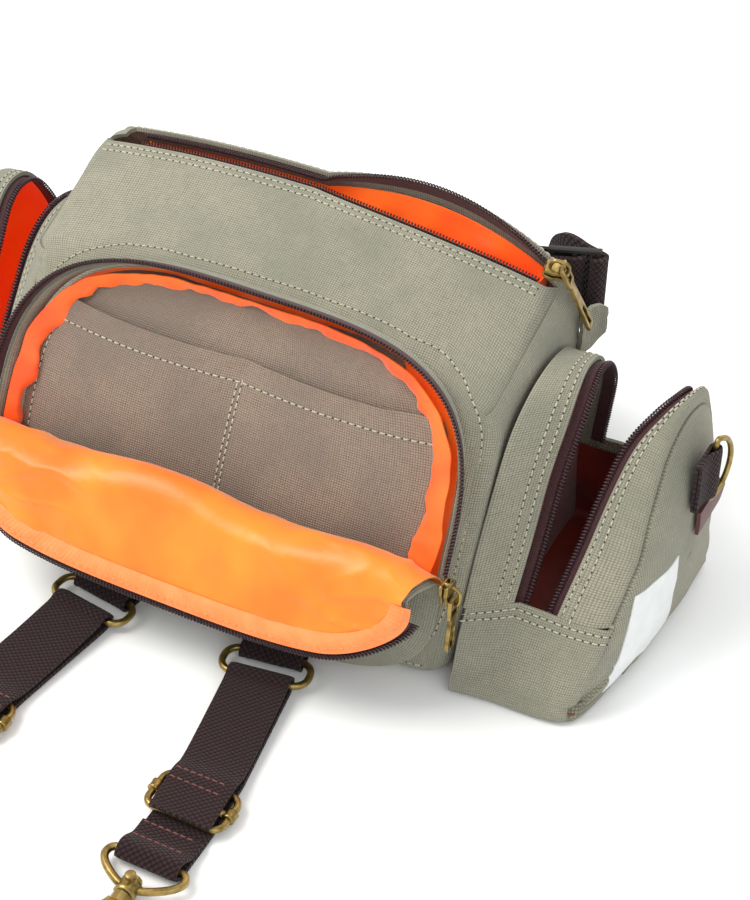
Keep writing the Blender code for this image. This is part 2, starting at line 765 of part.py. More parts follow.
def side_zip(name, sign, towards):
    """Zip half round the pocket; towards is 1 for the inner half and -1 for the outer one."""
    path, across, up = [], [], []
    stations = smooth_path([(ARCH_ROWS[i][0], ARCH_ROWS[i][1],
                             zip_in_x(i) if towards > 0 else zip_out_x(i, sign))
                            for i in range(ARCH_FRONT_FOOT + 1, ARCH_BACK_FOOT)], 13)
    for i, (y, z, x) in enumerate(stations):
        before, after = stations[max(i - 1, 0)], stations[min(i + 1, len(stations) - 1)]
        outward = Vector((0, before[1] - after[1], after[0] - before[0])).normalized()
        path.append(Vector((sign * (x - towards * TAPE_WIDTH / 2), y, z)) - outward * (CANVAS + 2.2))
        across.append((sign * towards, 0, 0))
        up.append(outward)
    return zip_half(name, path, across, up)


def seat_on(obj, target, gap):
    """Press a flat sheet along X on to the outer face of another piece."""
    press = obj.modifiers.new("seat", "SHRINKWRAP")
    press.target = target
    press.wrap_method = "PROJECT"
    press.use_project_x = True
    press.use_positive_direction = False
    press.use_negative_direction = True
    press.offset = gap * MM
    return obj


def blank_label(name, target):
    """Woven label with nothing on it, sewn low on the outer face of the right pocket."""
    rows = [[Vector((180.0, mix(-21.7, 8.3, i / 12), z)) for i in range(13)] for z in (10.3, 20.6, 31.2, 42.1)]
    obj = face_towards(loft(name, rows, LABEL_FINISH), (1, 0, 0))
    return thicken(seat_on(obj, target, 1.1), 0.6, 1.0)


for side, sign in (("right", 1), ("left", -1)):
    outer = outer_half("side_pocket_outer_" + side, sign)
    if side == "right":
        blank_label("side_label", outer)
    inner_half("side_pocket_inner_" + side, sign)
    side_lining("side_pocket_lining_" + side, sign)
    side_zip("side_zip_outer_" + side, sign, -1)
    side_zip("side_zip_inner_" + side, sign, 1)


# Bottom straps: a tab under the pocket, two rings, the doubled webbing and its tri-glide

BAR_Z = 4.2
RING_HALF_WIDTH = 17.5
RING_HALF_DEPTH = 6.5
RING_MIDDLE_Y = -84.0
GLIDE_HALF_WIDTH = 17.0


def strap_x(y, sign):
    return sign * between(STRAP_LINE, 1, y)


def strap_across(y, sign):
    """Direction of the strap's width, which follows its lean."""
    return Vector((1.0, sign * between(STRAP_LINE, 2, y), 0.0)).normalized()


def ring_outline(sign, y, z):
    """Rounded rectangle of wire in the floor's plane, square to its strap."""
    points = []
    centre = Vector((strap_x(y, sign), y, z))
    across = strap_across(y, sign)
    along = Vector((-across.y, across.x, 0.0))
    for turn in (20, 45, 70, 110, 135, 160, 200, 225, 250, 290, 315, 340):
        c, s = cos(radians(turn)), sin(radians(turn))
        scale = (abs(c) ** 6 + abs(s) ** 6) ** (-1 / 6)
        points.append(centre + across * RING_HALF_WIDTH * c * scale + along * RING_HALF_DEPTH * s * scale)
    return points


def webbing_run(name, sign, rows, width, thick, material, count):
    """Webbing along rows of y and z, on the strap's line."""
    path = [Vector((strap_x(p.y, sign), p.y, p.z)) for p in smooth_path([(0, y, z) for y, z in rows], count)]
    return ribbon(name, path, width, thick,
                  lambda share: strap_across(path[round(share * (count - 1))].y, sign), material)


def triglide(name, x, y, z):
    def box(left, right, low, high):
        return [(left, low), (right, low), (right, high), (left, high)]

    wide, deep, bar = GLIDE_HALF_WIDTH, 10.0, 3.0
    slot = (2 * deep - 3 * bar) / 2
    corner = 2.5
    outer = [(wide - corner, -deep), (wide, -deep + corner), (wide, deep - corner), (wide - corner, deep),
             (corner - wide, deep), (-wide, deep - corner), (-wide, corner - deep), (corner - wide, -deep)]
    near = box(-wide + bar, wide - bar, -deep + bar, -deep + bar + slot)
    far = box(-wide + bar, wide - bar, deep - bar - slot, deep - bar)
    place = Matrix.Translation(Vector((x, y, z)) * MM)
    return plate(name, (outer, near, far), 2.8, 0.7, BRASS_FINISH, place)


TAB_ROWS = ((-61.5, 3.0), (-70.0, 3.0), (-74.0, 4.6), (-76.4, 6.7), (-78.9, 6.7), (-80.8, 4.2),
            (-78.6, 1.5), (-75.0, 0.95), (-61.5, 0.9))
STRAP_ROWS = ((-167.0, 7.0), (-156.0, 7.1), (-146.0, 6.9), (-134.0, 4.4), (-99.0, 5.6), (-93.0, 7.2),
              (-90.0, 7.25), (-87.1, 4.4), (-90.0, 1.3), (-96.0, 1.0), (-150.0, 1.0), (-182.0, 1.0),
              (-187.0, 1.3), (-190.3, 4.4), (-187.0, 7.6), (-183.0, 6.6), (-178.0, 3.6), (-171.0, 3.3))


# Swivel hook: an eye with a boss, and a snap body that turns in it and carries a sprung gate

HOOK_Z = 4.6
EYE_OUTLINE = ((14.0, 0.0), (15.5, -1.5), (15.5, -5.0), (11.0, -9.5), (4.0, -13.6),
               (-4.0, -13.6), (-11.0, -9.5), (-15.5, -5.0), (-15.5, -1.5), (-14.0, 0.0))
BOSS_TOP = -11.5
BOSS_END = -18.0
BODY_OUTLINE = ((-4.0, 0.0), (-6.0, -5.0), (-9.5, -9.5), (-11.0, -16.0), (-11.0, -26.0), (-8.5, -32.5),
                (-2.5, -36.0), (4.0, -35.0), (8.5, -31.5), (10.0, -28.0), (6.0, -27.4), (4.2, -29.6),
                (1.0, -31.4), (-3.5, -30.6), (-6.8, -26.0), (-6.8, -17.0), (-3.2, -12.6), (3.4, -12.6),
                (6.6, -9.6), (6.0, -5.0), (4.0, 0.0))
RIVET = (3.4, -9.0)
GATE_OUTLINE = ((4.6, -13.4), (8.4, -13.0), (9.4, -17.0), (9.4, -26.2), (6.6, -25.6), (5.2, -18.0))
EAR_OUTLINE = ((0.8, -8.0), (2.4, -6.2), (5.0, -6.3), (7.0, -8.2), (8.2, -13.0), (8.8, -16.5),
               (5.4, -16.5), (4.7, -13.6), (1.4, -10.6))


def hook(side, x):
    eye_y = EYE_Y
    neck_y = eye_y + BOSS_END - 3.0
    eye = as_mesh(wire("hook_eye_" + side, [(x + dx, eye_y + dy, HOOK_Z - 0.2) for dx, dy in EYE_OUTLINE],
                       WIRE, True, BRASS_FINISH))
    boss = cylinder("boss_" + side, (x, eye_y + BOSS_TOP, HOOK_Z), (x, eye_y + BOSS_END, HOOK_Z), 8.4,
                    BRASS_FINISH)
    bore = cylinder("bore_" + side, (x, eye_y + BOSS_TOP + 4, HOOK_Z), (x, eye_y + BOSS_END - 2, HOOK_Z),
                    4.2, BRASS_FINISH, 10)
    combine(eye, boss, "UNION")
    combine(eye, bore, "DIFFERENCE")
    place = Matrix.Translation(Vector((x, neck_y, HOOK_Z)) * MM)
    body = plate("hook_body_" + side, (BODY_OUTLINE,), 4.4, 1.0, BRASS_FINISH, place)
    pin = cylinder("pin_" + side, (x, eye_y + BOSS_TOP + 0.4, HOOK_Z), (x, neck_y - 2.0, HOOK_Z), 3.3,
                   BRASS_FINISH, 8)
    head = cylinder("head_" + side, (x, eye_y + BOSS_TOP + 1.8, HOOK_Z), (x, eye_y + BOSS_TOP + 0.35, HOOK_Z),
                    6.0, BRASS_FINISH, 10)
    collar = cylinder("collar_" + side, (x, eye_y + BOSS_END - 0.35, HOOK_Z), (x, neck_y - 1.5, HOOK_Z), 7.2,
                      BRASS_FINISH, 10)
    post_x, post_y = x + RIVET[0], neck_y + RIVET[1]
    post = cylinder("post_" + side, (post_x, post_y, HOOK_Z), (post_x, post_y, HOOK_Z + 4.6), 2.6,
                    BRASS_FINISH, 8)
    cap = cylinder("cap_" + side, (post_x, post_y, HOOK_Z + 4.2), (post_x, post_y, HOOK_Z + 5.2), 5.0,
                   BRASS_FINISH, 8)
    for piece in (pin, head, collar, post, cap):
        combine(body, piece, "UNION")
    set_origin(body, (x, neck_y, HOOK_Z))
    gate = plate("hook_gate_" + side, (GATE_OUTLINE,), 3.4, 0.5, BRASS_FINISH, place)
    ear_hole = [(RIVET[0] + 1.8 * cos(2 * pi * k / 8), RIVET[1] + 1.8 * sin(2 * pi * k / 8))
                for k in range(8)]
    ear_place = Matrix.Translation(Vector((x, neck_y, HOOK_Z + 3.25)) * MM)
    ear = plate("ear_" + side, (EAR_OUTLINE, ear_hole), 1.4, 0.3, BRASS_FINISH, ear_place)
    bridge = block("bridge_" + side, (3.0, 2.8, 3.0), (x + 6.6, neck_y - 15.0, HOOK_Z + 2.3), 0.0,
                   BRASS_FINISH)
    combine(gate, bridge, "UNION")
    combine(gate, ear, "UNION")
    set_origin(gate, (post_x, post_y, HOOK_Z))


for side, sign in (("right", 1), ("left", -1)):
    webbing_run("strap_tab_" + side, sign, TAB_ROWS, WEBBING, 1.4, WEBBING_FINISH, 17)
    wire("strap_ring_" + side, ring_outline(sign, RING_MIDDLE_Y, BAR_Z), 2.8, True, BRASS_FINISH)
    webbing_run("strap_webbing_" + side, sign, STRAP_ROWS, WEBBING, WEBBING_THICK, WEBBING_FINISH, 30)
    triglide("strap_triglide_" + side, strap_x(GLIDE_Y, sign), GLIDE_Y, BAR_Z)
    hook(side, strap_x(EYE_Y, sign))


# Zip sliders, each with a long flat puller that swings on the slider's arch

SLIDER_THICK = 3.6
SLIDER_OUTLINE = ((-5.0, -3.4), (-0.8, -3.9), (1.2, -2.0), (4.2, -1.7), (4.2, 1.7), (1.2, 2.0),
                  (-0.8, 3.9), (-5.0, 3.4))
ARCH_POINTS = ((-3.45, 0.0, 1.25), (-3.0, 0.0, 4.3), (-1.4, 0.0, 5.3), (1.9, 0.0, 5.3), (3.3, 0.0, 4.4),
               (3.55, 0.0, 1.25))
PIN = (1.3, 0.0, 3.15)
PULLER_THICK = 1.6
FLAT = Matrix.Identity(4)
PULLER_HOLE = ((0.8, -2.4), (6.8, -2.4), (6.8, 2.4), (0.8, 2.4))


def puller_outline(length):
    """Eye round the arch, a waist, a long plate that widens a little, and a slot near the tip."""
    side = ((-0.8, 4.0), (7.4, 4.0), (9.0, 2.2), (length - 3.0, 3.4), (length - 0.8, 2.6))
    outer = [(x, -y) for x, y in side] + [(x, y) for x, y in reversed(side)]
    slot_start, slot_end, half = length - 10.5, length - 2.2, 1.3
    slot = ((slot_start, -half), (slot_end, -half), (slot_end, half), (slot_start, half))
    return (outer, PULLER_HOLE, slot)


def placing(centre, along, out):
    """Frame whose X runs along the zip and whose Z looks away from the cloth."""
    u = Vector(along).normalized()
    v = Vector(out).cross(u).normalized()
    w = u.cross(v)
    turn = Matrix((u, v, w)).transposed().to_4x4()
    return Matrix.Translation(Vector(centre) * MM) @ turn


def slider_and_puller(where, centre, along, out, hang, length):
    place = placing(centre, along, out)
    slider = plate(where + "_zip_slider", (SLIDER_OUTLINE,), SLIDER_THICK, 0.7, BRASS_FINISH, FLAT)
    arch = as_mesh(wire(where + "_arch", ARCH_POINTS, 1.5, False, BRASS_FINISH))
    combine(slider, arch, "UNION")
    slider.matrix_world = place
    arch.matrix_world = place
    puller = plate(where + "_zip_puller", puller_outline(length), PULLER_THICK, 0.25, BRASS_FINISH, FLAT)
    puller.matrix_world = (place @ Matrix.Translation(Vector(PIN) * MM)
                           @ Matrix.Rotation(radians(hang), 4, "Y"))


slider_and_puller("main", (95.0, 44.6, 128.2), (0.90, 0.26, -0.33), (0.34, 0.05, 0.94), 46.0, 30.0)
slider_and_puller("front", (104.3, -64.5, 56.0), (0.0, -0.1, -1.0), (1.0, 0.0, 0.0), 0.0, 24.0)


# Webbing loop and D-ring on the outer face of the right side pocket

LOOP_Z = 73.0
LOOP_X = 168.8
D_BAR = (LOOP_X + 2.2, 27.6)
LOOP_ROWS = ((LOOP_X, 14.0), (LOOP_X, 21.0), (LOOP_X, 27.6), (LOOP_X + 0.65, 29.15), (LOOP_X + 2.2, 29.8),
             (LOOP_X + 3.75, 29.15), (LOOP_X + 4.4, 27.6), (LOOP_X + 3.9, 25.6), (LOOP_X + 2.1, 22.5),
             (LOOP_X + 1.6, 19.0), (LOOP_X + 1.6, 14.0))
D_OUTLINE = ((0.0, -12.6), (0.6, -14.2), (2.4, -14.4), (7.0, -11.6), (10.2, -6.4), (11.4, 0.0),
             (10.2, 6.4), (7.0, 11.6), (2.4, 14.4), (0.6, 14.2), (0.0, 12.6))
D_LEAN = radians(75.0)

TAB_X = 170.2
TAB_THICK = 1.6
TAB_START_Y = 20.0
TAB_ROUND_Y = 41.5
TAB_Z = 51.4
TAB_RADIUS = 5.5


def leather_tab():
    """Short leather strip with a round end, sewn below the webbing loop."""
    end = [(TAB_ROUND_Y + TAB_RADIUS * sin(pi * k / 8), -TAB_RADIUS * cos(pi * k / 8)) for k in range(9)]
    outline = [(TAB_START_Y, -TAB_RADIUS)] + end + [(TAB_START_Y, TAB_RADIUS)]
    turn = Matrix(((0, 0, 1, 0), (1, 0, 0, 0), (0, 1, 0, 0), (0, 0, 0, 1)))
    place = Matrix.Translation(Vector((TAB_X, 0, TAB_Z)) * MM) @ turn
    return plate("side_leather_tab", (outline,), TAB_THICK, 0.3, LEATHER_FINISH, place)


leather_tab()
loop_path = [Vector((x, y, LOOP_Z)) for x, y in LOOP_ROWS]
ribbon("side_ring_loop", smooth_path(loop_path, 21), WEBBING - 2.0, 1.2, lambda share: (0, 0, 1),
       WEBBING_FINISH)
wire("side_ring", [(D_BAR[0] + out * cos(D_LEAN), D_BAR[1] + out * sin(D_LEAN), LOOP_Z + rise)
                   for out, rise in D_OUTLINE], 2.2, True, BRASS_FINISH)


# Belt: a band sewn across the back, an adjuster at each end, and straps that meet in a buckle

ADJUSTER_CENTRE = (93.0, 67.6)
ADJUSTER_TURN = radians(21.7)
ADJUSTER_HEIGHT = 38.0
ADJUSTER_THICK = 2.6
LEFT_BELT_DROP = 20.0
BAND_ROWS = (
    # along the adjuster, away from the bag
    (-10.5, -2.7), (-3.0, -2.8), (0.8, -2.8), (3.4, 0.0), (0.8, 2.8), (-3.0, 2.8), (-10.0, 2.8),
    (-18.0, 3.2),
)
BAND_MIDDLE = (
    # x, y, share of the left end's drop
    (-76.0, 61.6, 0.85), (-30.0, 61.3, 0.3), (30.0, 60.9, 0.0), (76.0, 60.9, 0.0),
)
STRAP_START = (
    # along the adjuster, away from the bag, drop
    (6.0, -3.0, 0.0), (9.4, -3.0, 0.0), (12.3, 0.0, 0.0), (9.4, 3.0, 0.0), (5.0, 6.4, 0.0),
    (0.5, 11.5, 0.8), (-3.0, 17.5, 8.0),
)
STRAP_WAY = (
    # x, y and z of the belt's middle on its way down behind the bag
    (80.0, 87.0, 82.0), (75.0, 94.5, 64.0), (68.0, 103.0, 45.0), (60.0, 114.0, 28.0),
    (50.0, 122.5, 20.5), (40.0, 125.6, 19.8), (30.0, 125.6, 19.8), (25.0, 125.6, 19.8),
    (22.2, 121.0, 19.8), (25.0, 116.4, 19.8), (30.0, 116.4, 19.8), (37.0, 118.6, 19.8),
)
BUCKLE_Y = 121.0
BUCKLE_Z = 19.8
BUCKLE_BAR_X = 26.5


def belt_drop(sign, z=BELT_Z):
    """The left belt end hangs lower than the right one, behind the bag."""
    return LEFT_BELT_DROP * min(1.0, max(0.0, (z - 20.0) / (BELT_Z - 20.0))) if sign < 0 else 0.0


def adjuster_point(along, away, z=BELT_Z):
    c, s = cos(ADJUSTER_TURN), sin(ADJUSTER_TURN)
    return Vector((ADJUSTER_CENTRE[0] + along * c - away * s, ADJUSTER_CENTRE[1] + along * s + away * c, z))


def adjuster(side, sign):
    half = ADJUSTER_HEIGHT / 2
    slot = BELT / 2 + 0.6
    bars = ((-7.8, -1.4), (1.2, 7.8))
    outer = ((-10.5, -half), (10.5, -half), (10.5, half), (-10.5, half))
    slots = [((low, -slot), (high, -slot), (high, slot), (low, slot)) for low, high in bars]
    turn = Matrix.Rotation(sign * ADJUSTER_TURN, 4, "Z") @ Matrix.Rotation(radians(90.0), 4, "X")
    centre = adjuster_point(0.0, 0.0)
    place = Matrix.Translation(Vector((sign * centre.x, centre.y, centre.z - belt_drop(sign))) * MM) @ turn
    outlines = [[(sign * a, b) for a, b in outline] for outline in (outer, *slots)]
    return plate("belt_adjuster_" + side, outlines, ADJUSTER_THICK, 0.6, PLASTIC_FINISH, place)


def belt_band():
    right = [adjuster_point(a, n) for a, n in BAND_ROWS]
    left = [Vector((-p.x, p.y, p.z - belt_drop(-1))) for p in reversed(right)]
    middle = [Vector((x, y, BELT_Z - belt_drop(-1) * share)) for x, y, share in BAND_MIDDLE]
    return ribbon("belt_band", smooth_path(left + middle + right, 35), BELT, BELT_THICK,
                  lambda share: (0, 0, 1), WEBBING_FINISH)


def belt_strap(side, sign):
    start = [adjuster_point(along, away, BELT_Z - drop) for along, away, drop in STRAP_START]
    points = [p - Vector((0, 0, belt_drop(sign, p.z))) for p in start + [Vector(row) for row in STRAP_WAY]]
    path = mirrored(smooth_path(points, 33), sign)
    return ribbon("belt_strap_" + side, path, BELT, BELT_THICK, lambda share: (0, 0, 1), WEBBING_FINISH)


def buckle_half(name, sign):
    """Side-release half: a slotted bar for the belt, and a tongue or the hollow that takes it."""
    slot = BELT / 2 + 0.6
    outer = ((1.0, -17.0), (20.0, -19.5), (28.5, -19.5), (28.5, 19.5), (20.0, 19.5), (1.0, 17.0))
    hole = ((18.5, -slot), (25.0, -slot), (25.0, slot), (18.5, slot))
    turn = Matrix.Rotation(radians(90.0), 4, "X")
    place = Matrix.Translation(Vector((0.0, BUCKLE_Y, BUCKLE_Z)) * MM) @ turn
    outlines = [[(sign * a, b) for a, b in outline] for outline in (outer, hole)]
    return plate(name, outlines, 6.0, 1.0, PLASTIC_FINISH, place)


belt_band()
for side, sign in (("right", 1), ("left", -1)):
    adjuster(side, sign)
    belt_strap(side, sign)
socket = buckle_half("belt_buckle_socket", 1)
combine(socket, block("socket_hollow", (17.0, 3.2, 25.0), (8.0, BUCKLE_Y, BUCKLE_Z), 0.0, PLASTIC_FINISH),
        "DIFFERENCE")
plug = buckle_half("belt_buckle_plug", -1)
combine(plug, block("plug_tongue", (17.0, 2.4, 24.0), (6.5, BUCKLE_Y, BUCKLE_Z), 0.0, PLASTIC_FINISH), "UNION")


# Canvas wings at the bag's back corners, folded round the end of the belt

WING_ROWS = (
    # x, y, lowest z, highest z
    (104.6, 50.5, 88.0, 107.0),
    (106.0, 57.0, 88.0, 108.0),
    (107.5, 61.5, 89.5, 106.5),
    (109.5, 64.5, 92.0, 104.0),
)


def belt_wing(side, sign):
    rows = [mirrored([Vector((x, y, mix(low, high, k / 2))) for k in range(3)], sign)
            for x, y, low, high in WING_ROWS]
    obj = loft("belt_wing_" + side, rows, CANVAS_FINISH)
    return thicken(face_towards(obj, (sign, -1, 0)), CANVAS, 0.0)


for side, sign in (("right", 1), ("left", -1)):
    belt_wing(side, sign)
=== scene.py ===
"""Looks of a canvas hip pack: bag, open pockets, zips, straps and fittings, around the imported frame."""
from math import cos, pi, radians, sin, sqrt

import bpy
import numpy as np
from mathutils import Matrix, Vector, noise
from mathutils.bvhtree import BVHTree


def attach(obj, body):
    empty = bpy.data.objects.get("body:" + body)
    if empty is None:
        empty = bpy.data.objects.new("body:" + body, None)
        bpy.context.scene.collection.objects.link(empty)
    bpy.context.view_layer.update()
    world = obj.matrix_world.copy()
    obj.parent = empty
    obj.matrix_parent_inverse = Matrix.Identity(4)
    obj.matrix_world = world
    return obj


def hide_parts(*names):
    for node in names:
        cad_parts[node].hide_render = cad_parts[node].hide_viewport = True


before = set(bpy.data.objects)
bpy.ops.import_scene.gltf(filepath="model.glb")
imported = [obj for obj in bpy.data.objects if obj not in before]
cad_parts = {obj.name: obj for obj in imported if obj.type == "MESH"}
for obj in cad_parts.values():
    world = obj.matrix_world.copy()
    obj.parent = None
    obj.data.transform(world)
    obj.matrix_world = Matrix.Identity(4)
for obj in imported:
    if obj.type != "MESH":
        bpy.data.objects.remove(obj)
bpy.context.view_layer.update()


# Camera: the photographer stood in front of the pack, a little to its right, and looked down
# on it from arm's length.  The picture is 750 by 900, so the sensor's 36 mm are its long side.

MM = 0.001
CAMERA_AZIMUTH = radians(26.2)
CAMERA_HEIGHT = radians(40.4)
CAMERA_ROLL = radians(1.4)
CAMERA_LENS = 96.0
CAMERA_DISTANCE = 912.0
CAMERA_TARGET = Vector((53.7, -24.0, 74.4))

camera_back = Vector((sin(CAMERA_AZIMUTH) * cos(CAMERA_HEIGHT),
                      -cos(CAMERA_AZIMUTH) * cos(CAMERA_HEIGHT), sin(CAMERA_HEIGHT)))
level_right = Vector((cos(CAMERA_AZIMUTH), sin(CAMERA_AZIMUTH), 0.0))
level_up = camera_back.cross(level_right)
camera_right = level_right * cos(CAMERA_ROLL) + level_up * sin(CAMERA_ROLL)
camera_up = camera_back.cross(camera_right)
camera_data = bpy.data.cameras.new("camera")
camera_data.lens = CAMERA_LENS
camera_data.clip_start = 0.01
camera = bpy.data.objects.new("camera", camera_data)
turn = Matrix((camera_right, camera_up, camera_back)).transposed().to_4x4()
camera.matrix_world = Matrix.Translation((CAMERA_TARGET + camera_back * CAMERA_DISTANCE) * MM) @ turn
bpy.context.scene.collection.objects.link(camera)
bpy.context.scene.camera = camera


# Studio: a plain pale floor and soft light, the brightest from the upper left, as from a window.
# The shades are kept open by a pale room all round.

FLOOR_SIZE = 8.0
ROOM_LIGHT = 0.85


def linear(hex_colour):
    """An sRGB hex colour as the linear values that a shader takes."""
    parts = [int(hex_colour[i:i + 2], 16) / 255 for i in (1, 3, 5)]
    return (*[c / 12.92 if c <= 0.04045 else ((c + 0.055) / 1.055) ** 2.4 for c in parts], 1.0)


def new_material(name):
    material = bpy.data.materials.new(name)
    material.use_nodes = True
    return material


def plug(material, node, inputs):
    """Fills sockets: each takes a value, another socket, or a node by its first output."""
    for socket, value in inputs.items():
        if isinstance(value, bpy.types.Node):
            value = next(output for output in value.outputs if output.enabled)
        if isinstance(value, bpy.types.NodeSocket):
            material.node_tree.links.new(value, node.inputs[socket])
        else:
            node.inputs[socket].default_value = value
    return node


def add_node(material, kind, inputs=None, **settings):
    """One shader node with its settings and inputs."""
    made = material.node_tree.nodes.new("ShaderNode" + kind)
    for setting, value in settings.items():
        setattr(made, setting, value)
    return plug(material, made, inputs or {})


def set_shader(material, inputs):
    """Values and links of the material's own Principled shader."""
    return plug(material, material.node_tree.nodes["Principled BSDF"], inputs)


def painted_floor():
    """Matt white paint: even, with the faintest clouding."""
    material = new_material("matt_white_paint")
    place = add_node(material, "TexCoord").outputs["Object"]
    cloud = add_node(material, "TexNoise", {"Vector": place, "Scale": 3.0})
    tone = add_node(material, "Mix", {"Factor": cloud, "A": linear("#F4F4F2"), "B": linear("#FAFAF8")},
        data_type="RGBA")
    set_shader(material, {"Base Color": tone, "Roughness": 0.9})
    return material


def area_light(name, place, aim, size, watts, colour):
    data = bpy.data.lights.new(name, "AREA")
    data.size = size
    data.energy = watts
    data.color = linear(colour)[:3]
    light = bpy.data.objects.new(name, data)
    light.location = place
    light.rotation_euler = (Vector(aim) - Vector(place)).to_track_quat("-Z", "Y").to_euler()
    bpy.context.scene.collection.objects.link(light)


bpy.ops.object.select_all(action="DESELECT")
bpy.ops.mesh.primitive_plane_add(size=FLOOR_SIZE, location=(0.0, 0.0, -0.0004))
floor = bpy.context.object
floor.name = "floor"
floor.data.materials.append(painted_floor())
area_light("key", (-0.9, -0.5, 1.5), (0.0, 0.0, 0.05), 1.0, 26.0, "#FFFDF8")
area_light("fill", (1.1, -1.3, 1.1), (0.05, 0.0, 0.05), 1.4, 9.0, "#F6FAFF")
area_light("rim", (0.3, 1.4, 1.2), (0.0, 0.0, 0.05), 1.2, 8.0, "#FFFFFF")
world = bpy.data.worlds.new("pale_room")
world.use_nodes = True
world.node_tree.nodes["Background"].inputs["Color"].default_value = linear("#F7F9FB")
world.node_tree.nodes["Background"].inputs["Strength"].default_value = ROOM_LIGHT
bpy.context.scene.world = world
bpy.context.scene.view_settings.view_transform = "Standard"


# Main bag: a box of heavy cotton canvas, unlined cloth outside, cut in five panels that are sewn
# right sides together and turned.  Front and back panels run over the top to the zip.  The cloth
# sags a little between its seams, with a valley and a fold at the right end where the zip is open.

HALF_WIDTH = 101.0
SIDE_BULGE = 3.0
LEFT_SHOULDER = 17.0
LEFT_DROP_SHARE = 0.5
FRONT_FOOT_Y = -60.0
FRONT_TOP_Y = -9.0
FRONT_TOP_Z = 118.0
FRONT_CURVE = 1.8
BACK_Y = 60.0
ZIP_Y = 46.0
CORNER = 0.16
CANVAS_THICK = 1.6
SLIT_FRONT = 0.56
SLIT_BACK = 0.80
SLIT_END = 0.90
TOP_ROWS = (
    # share of depth, height in the middle, drop at the sides
    (-1.00, 118.0, 18.0), (-0.40, 126.5, 16.5), (0.25, 134.0, 15.0),
    (0.66, 137.0, 14.5), (0.84, 136.5, 15.0), (1.00, 132.5, 17.0),
)
DENT_ROWS = (
    # x, z, half width, half height, depth
    (-62.0, 128.0, 26.0, 14.0, 2.5),
    (70.0, 112.0, 14.0, 20.0, 3.5),
    (88.0, 100.0, 9.0, 18.0, -2.5),
)


def mix(a, b, share):
    return a + (b - a) * share


def ease(low, high, value):
    """From 0 at low to 1 at high, without a corner."""
    share = min(1.0, max(0.0, (value - low) / (high - low)))
    return share * share * (3.0 - 2.0 * share)


def power(base, exponent):
    return max(base, 0.0) ** exponent


def between(rows, column, value):
    """Column of a table at a value of its first column, on straight lines between the rows."""
    if value <= rows[0][0]:
        return rows[0][column]
    for low, high in zip(rows, rows[1:]):
        if value <= high[0]:
            return mix(low[column], high[column], (value - low[0]) / (high[0] - low[0]))
    return rows[-1][column]


def smooth_step(a, b, c, d, t):
    """Smooth curve from b to c with its neighbours a and d, for numbers and for points."""
    bend = (a * 2 - b * 5 + c * 4 - d) * t ** 2 + (b * 3 - a - c * 3 + d) * t ** 3
    return 0.5 * (b * 2 + (c - a) * t + bend)


def lumps(point, size, seed=0.0):
    """Slow random swell of cloth, about -1 to 1, with lumps of the given size in millimetres."""
    return noise.noise(Vector(point) / size + Vector((seed, 0.0, 0.0)))


def front_y(z):
    return FRONT_FOOT_Y + (FRONT_TOP_Y - FRONT_FOOT_Y) * power(z / FRONT_TOP_Z, FRONT_CURVE)


def dents(x, z):
    depth = 0.0
    for cx, cz, half_width, half_height, size in DENT_ROWS:
        reach = ((x - cx) / half_width) ** 2 + ((z - cz) / half_height) ** 2
        depth += size * max(0.0, 1.0 - reach) ** 2
    return depth


def top_z(x, share):
    drop = between(TOP_ROWS, 2, share) * power(abs(x) / 100.0, 2.4)
    if x < 0.0:
        drop *= LEFT_DROP_SHARE
    return between(TOP_ROWS, 1, share) - drop


def body_point(u, v, w, inset=0.0):
    """Point of the bag from a place on a cube whose sides run from -1 to 1."""
    cube = Vector((u, v, w))
    core = Vector([max(CORNER - 1, min(1 - CORNER, c)) for c in cube])
    spare = cube - core
    if spare.length > 0.0:
        cube = core + spare.normalized() * CORNER
    u, v, w = cube
    level = (w + 1) / 2
    shoulder = LEFT_SHOULDER * power(-u, 3) * level ** 16 * (1.0 - power(v, 4))
    x = u * (HALF_WIDTH - inset + SIDE_BULGE * sin(pi * level) + shoulder)
    z = inset + level * (top_z(x, v) - 2 * inset)
    front = front_y(z) + inset + 7.0 * power(abs(u), 4) * z / FRONT_TOP_Z + dents(x, z)
    back = BACK_Y - inset - 1.5 * power(z / 130.0, 4)
    return Vector((x, mix(front, back, (v + 1) / 2), z))


def zip_lean(x):
    """How far the open right part of the zip stands apart, from 0 to 1."""
    return power(sin(pi * min(1.0, max(0.0, (x + 6.0) / 102.0))), 0.8)


def slit_edge(x, back):
    """Canvas edge beside the top zip: the front one lies flat, the back one stands open."""
    height = top_z(x, 0.66)
    if back:
        lean_back = ZIP_Y + 5.6 + 5.0 * zip_lean(x)
        return Vector((x, lean_back, height - 0.5 + 6.0 * zip_lean(x)))
    return Vector((x, ZIP_Y - 5.6 - 3.0 * zip_lean(x), height - 1.0 - 1.0 * zip_lean(x)))


def seam_dip(u):
    """Cloth dips into the seams at the panel's two ends."""
    return 1.3 * ease(0.955, 1.0, abs(u))


def soft_wall(point, out, amount=0.7):
    """Moves a point of the wall in and out by the slow swell of soft canvas."""
    return point + Vector(out) * (amount * lumps(point, 34.0) + 0.35 * amount * lumps(point, 13.0, 7.0))


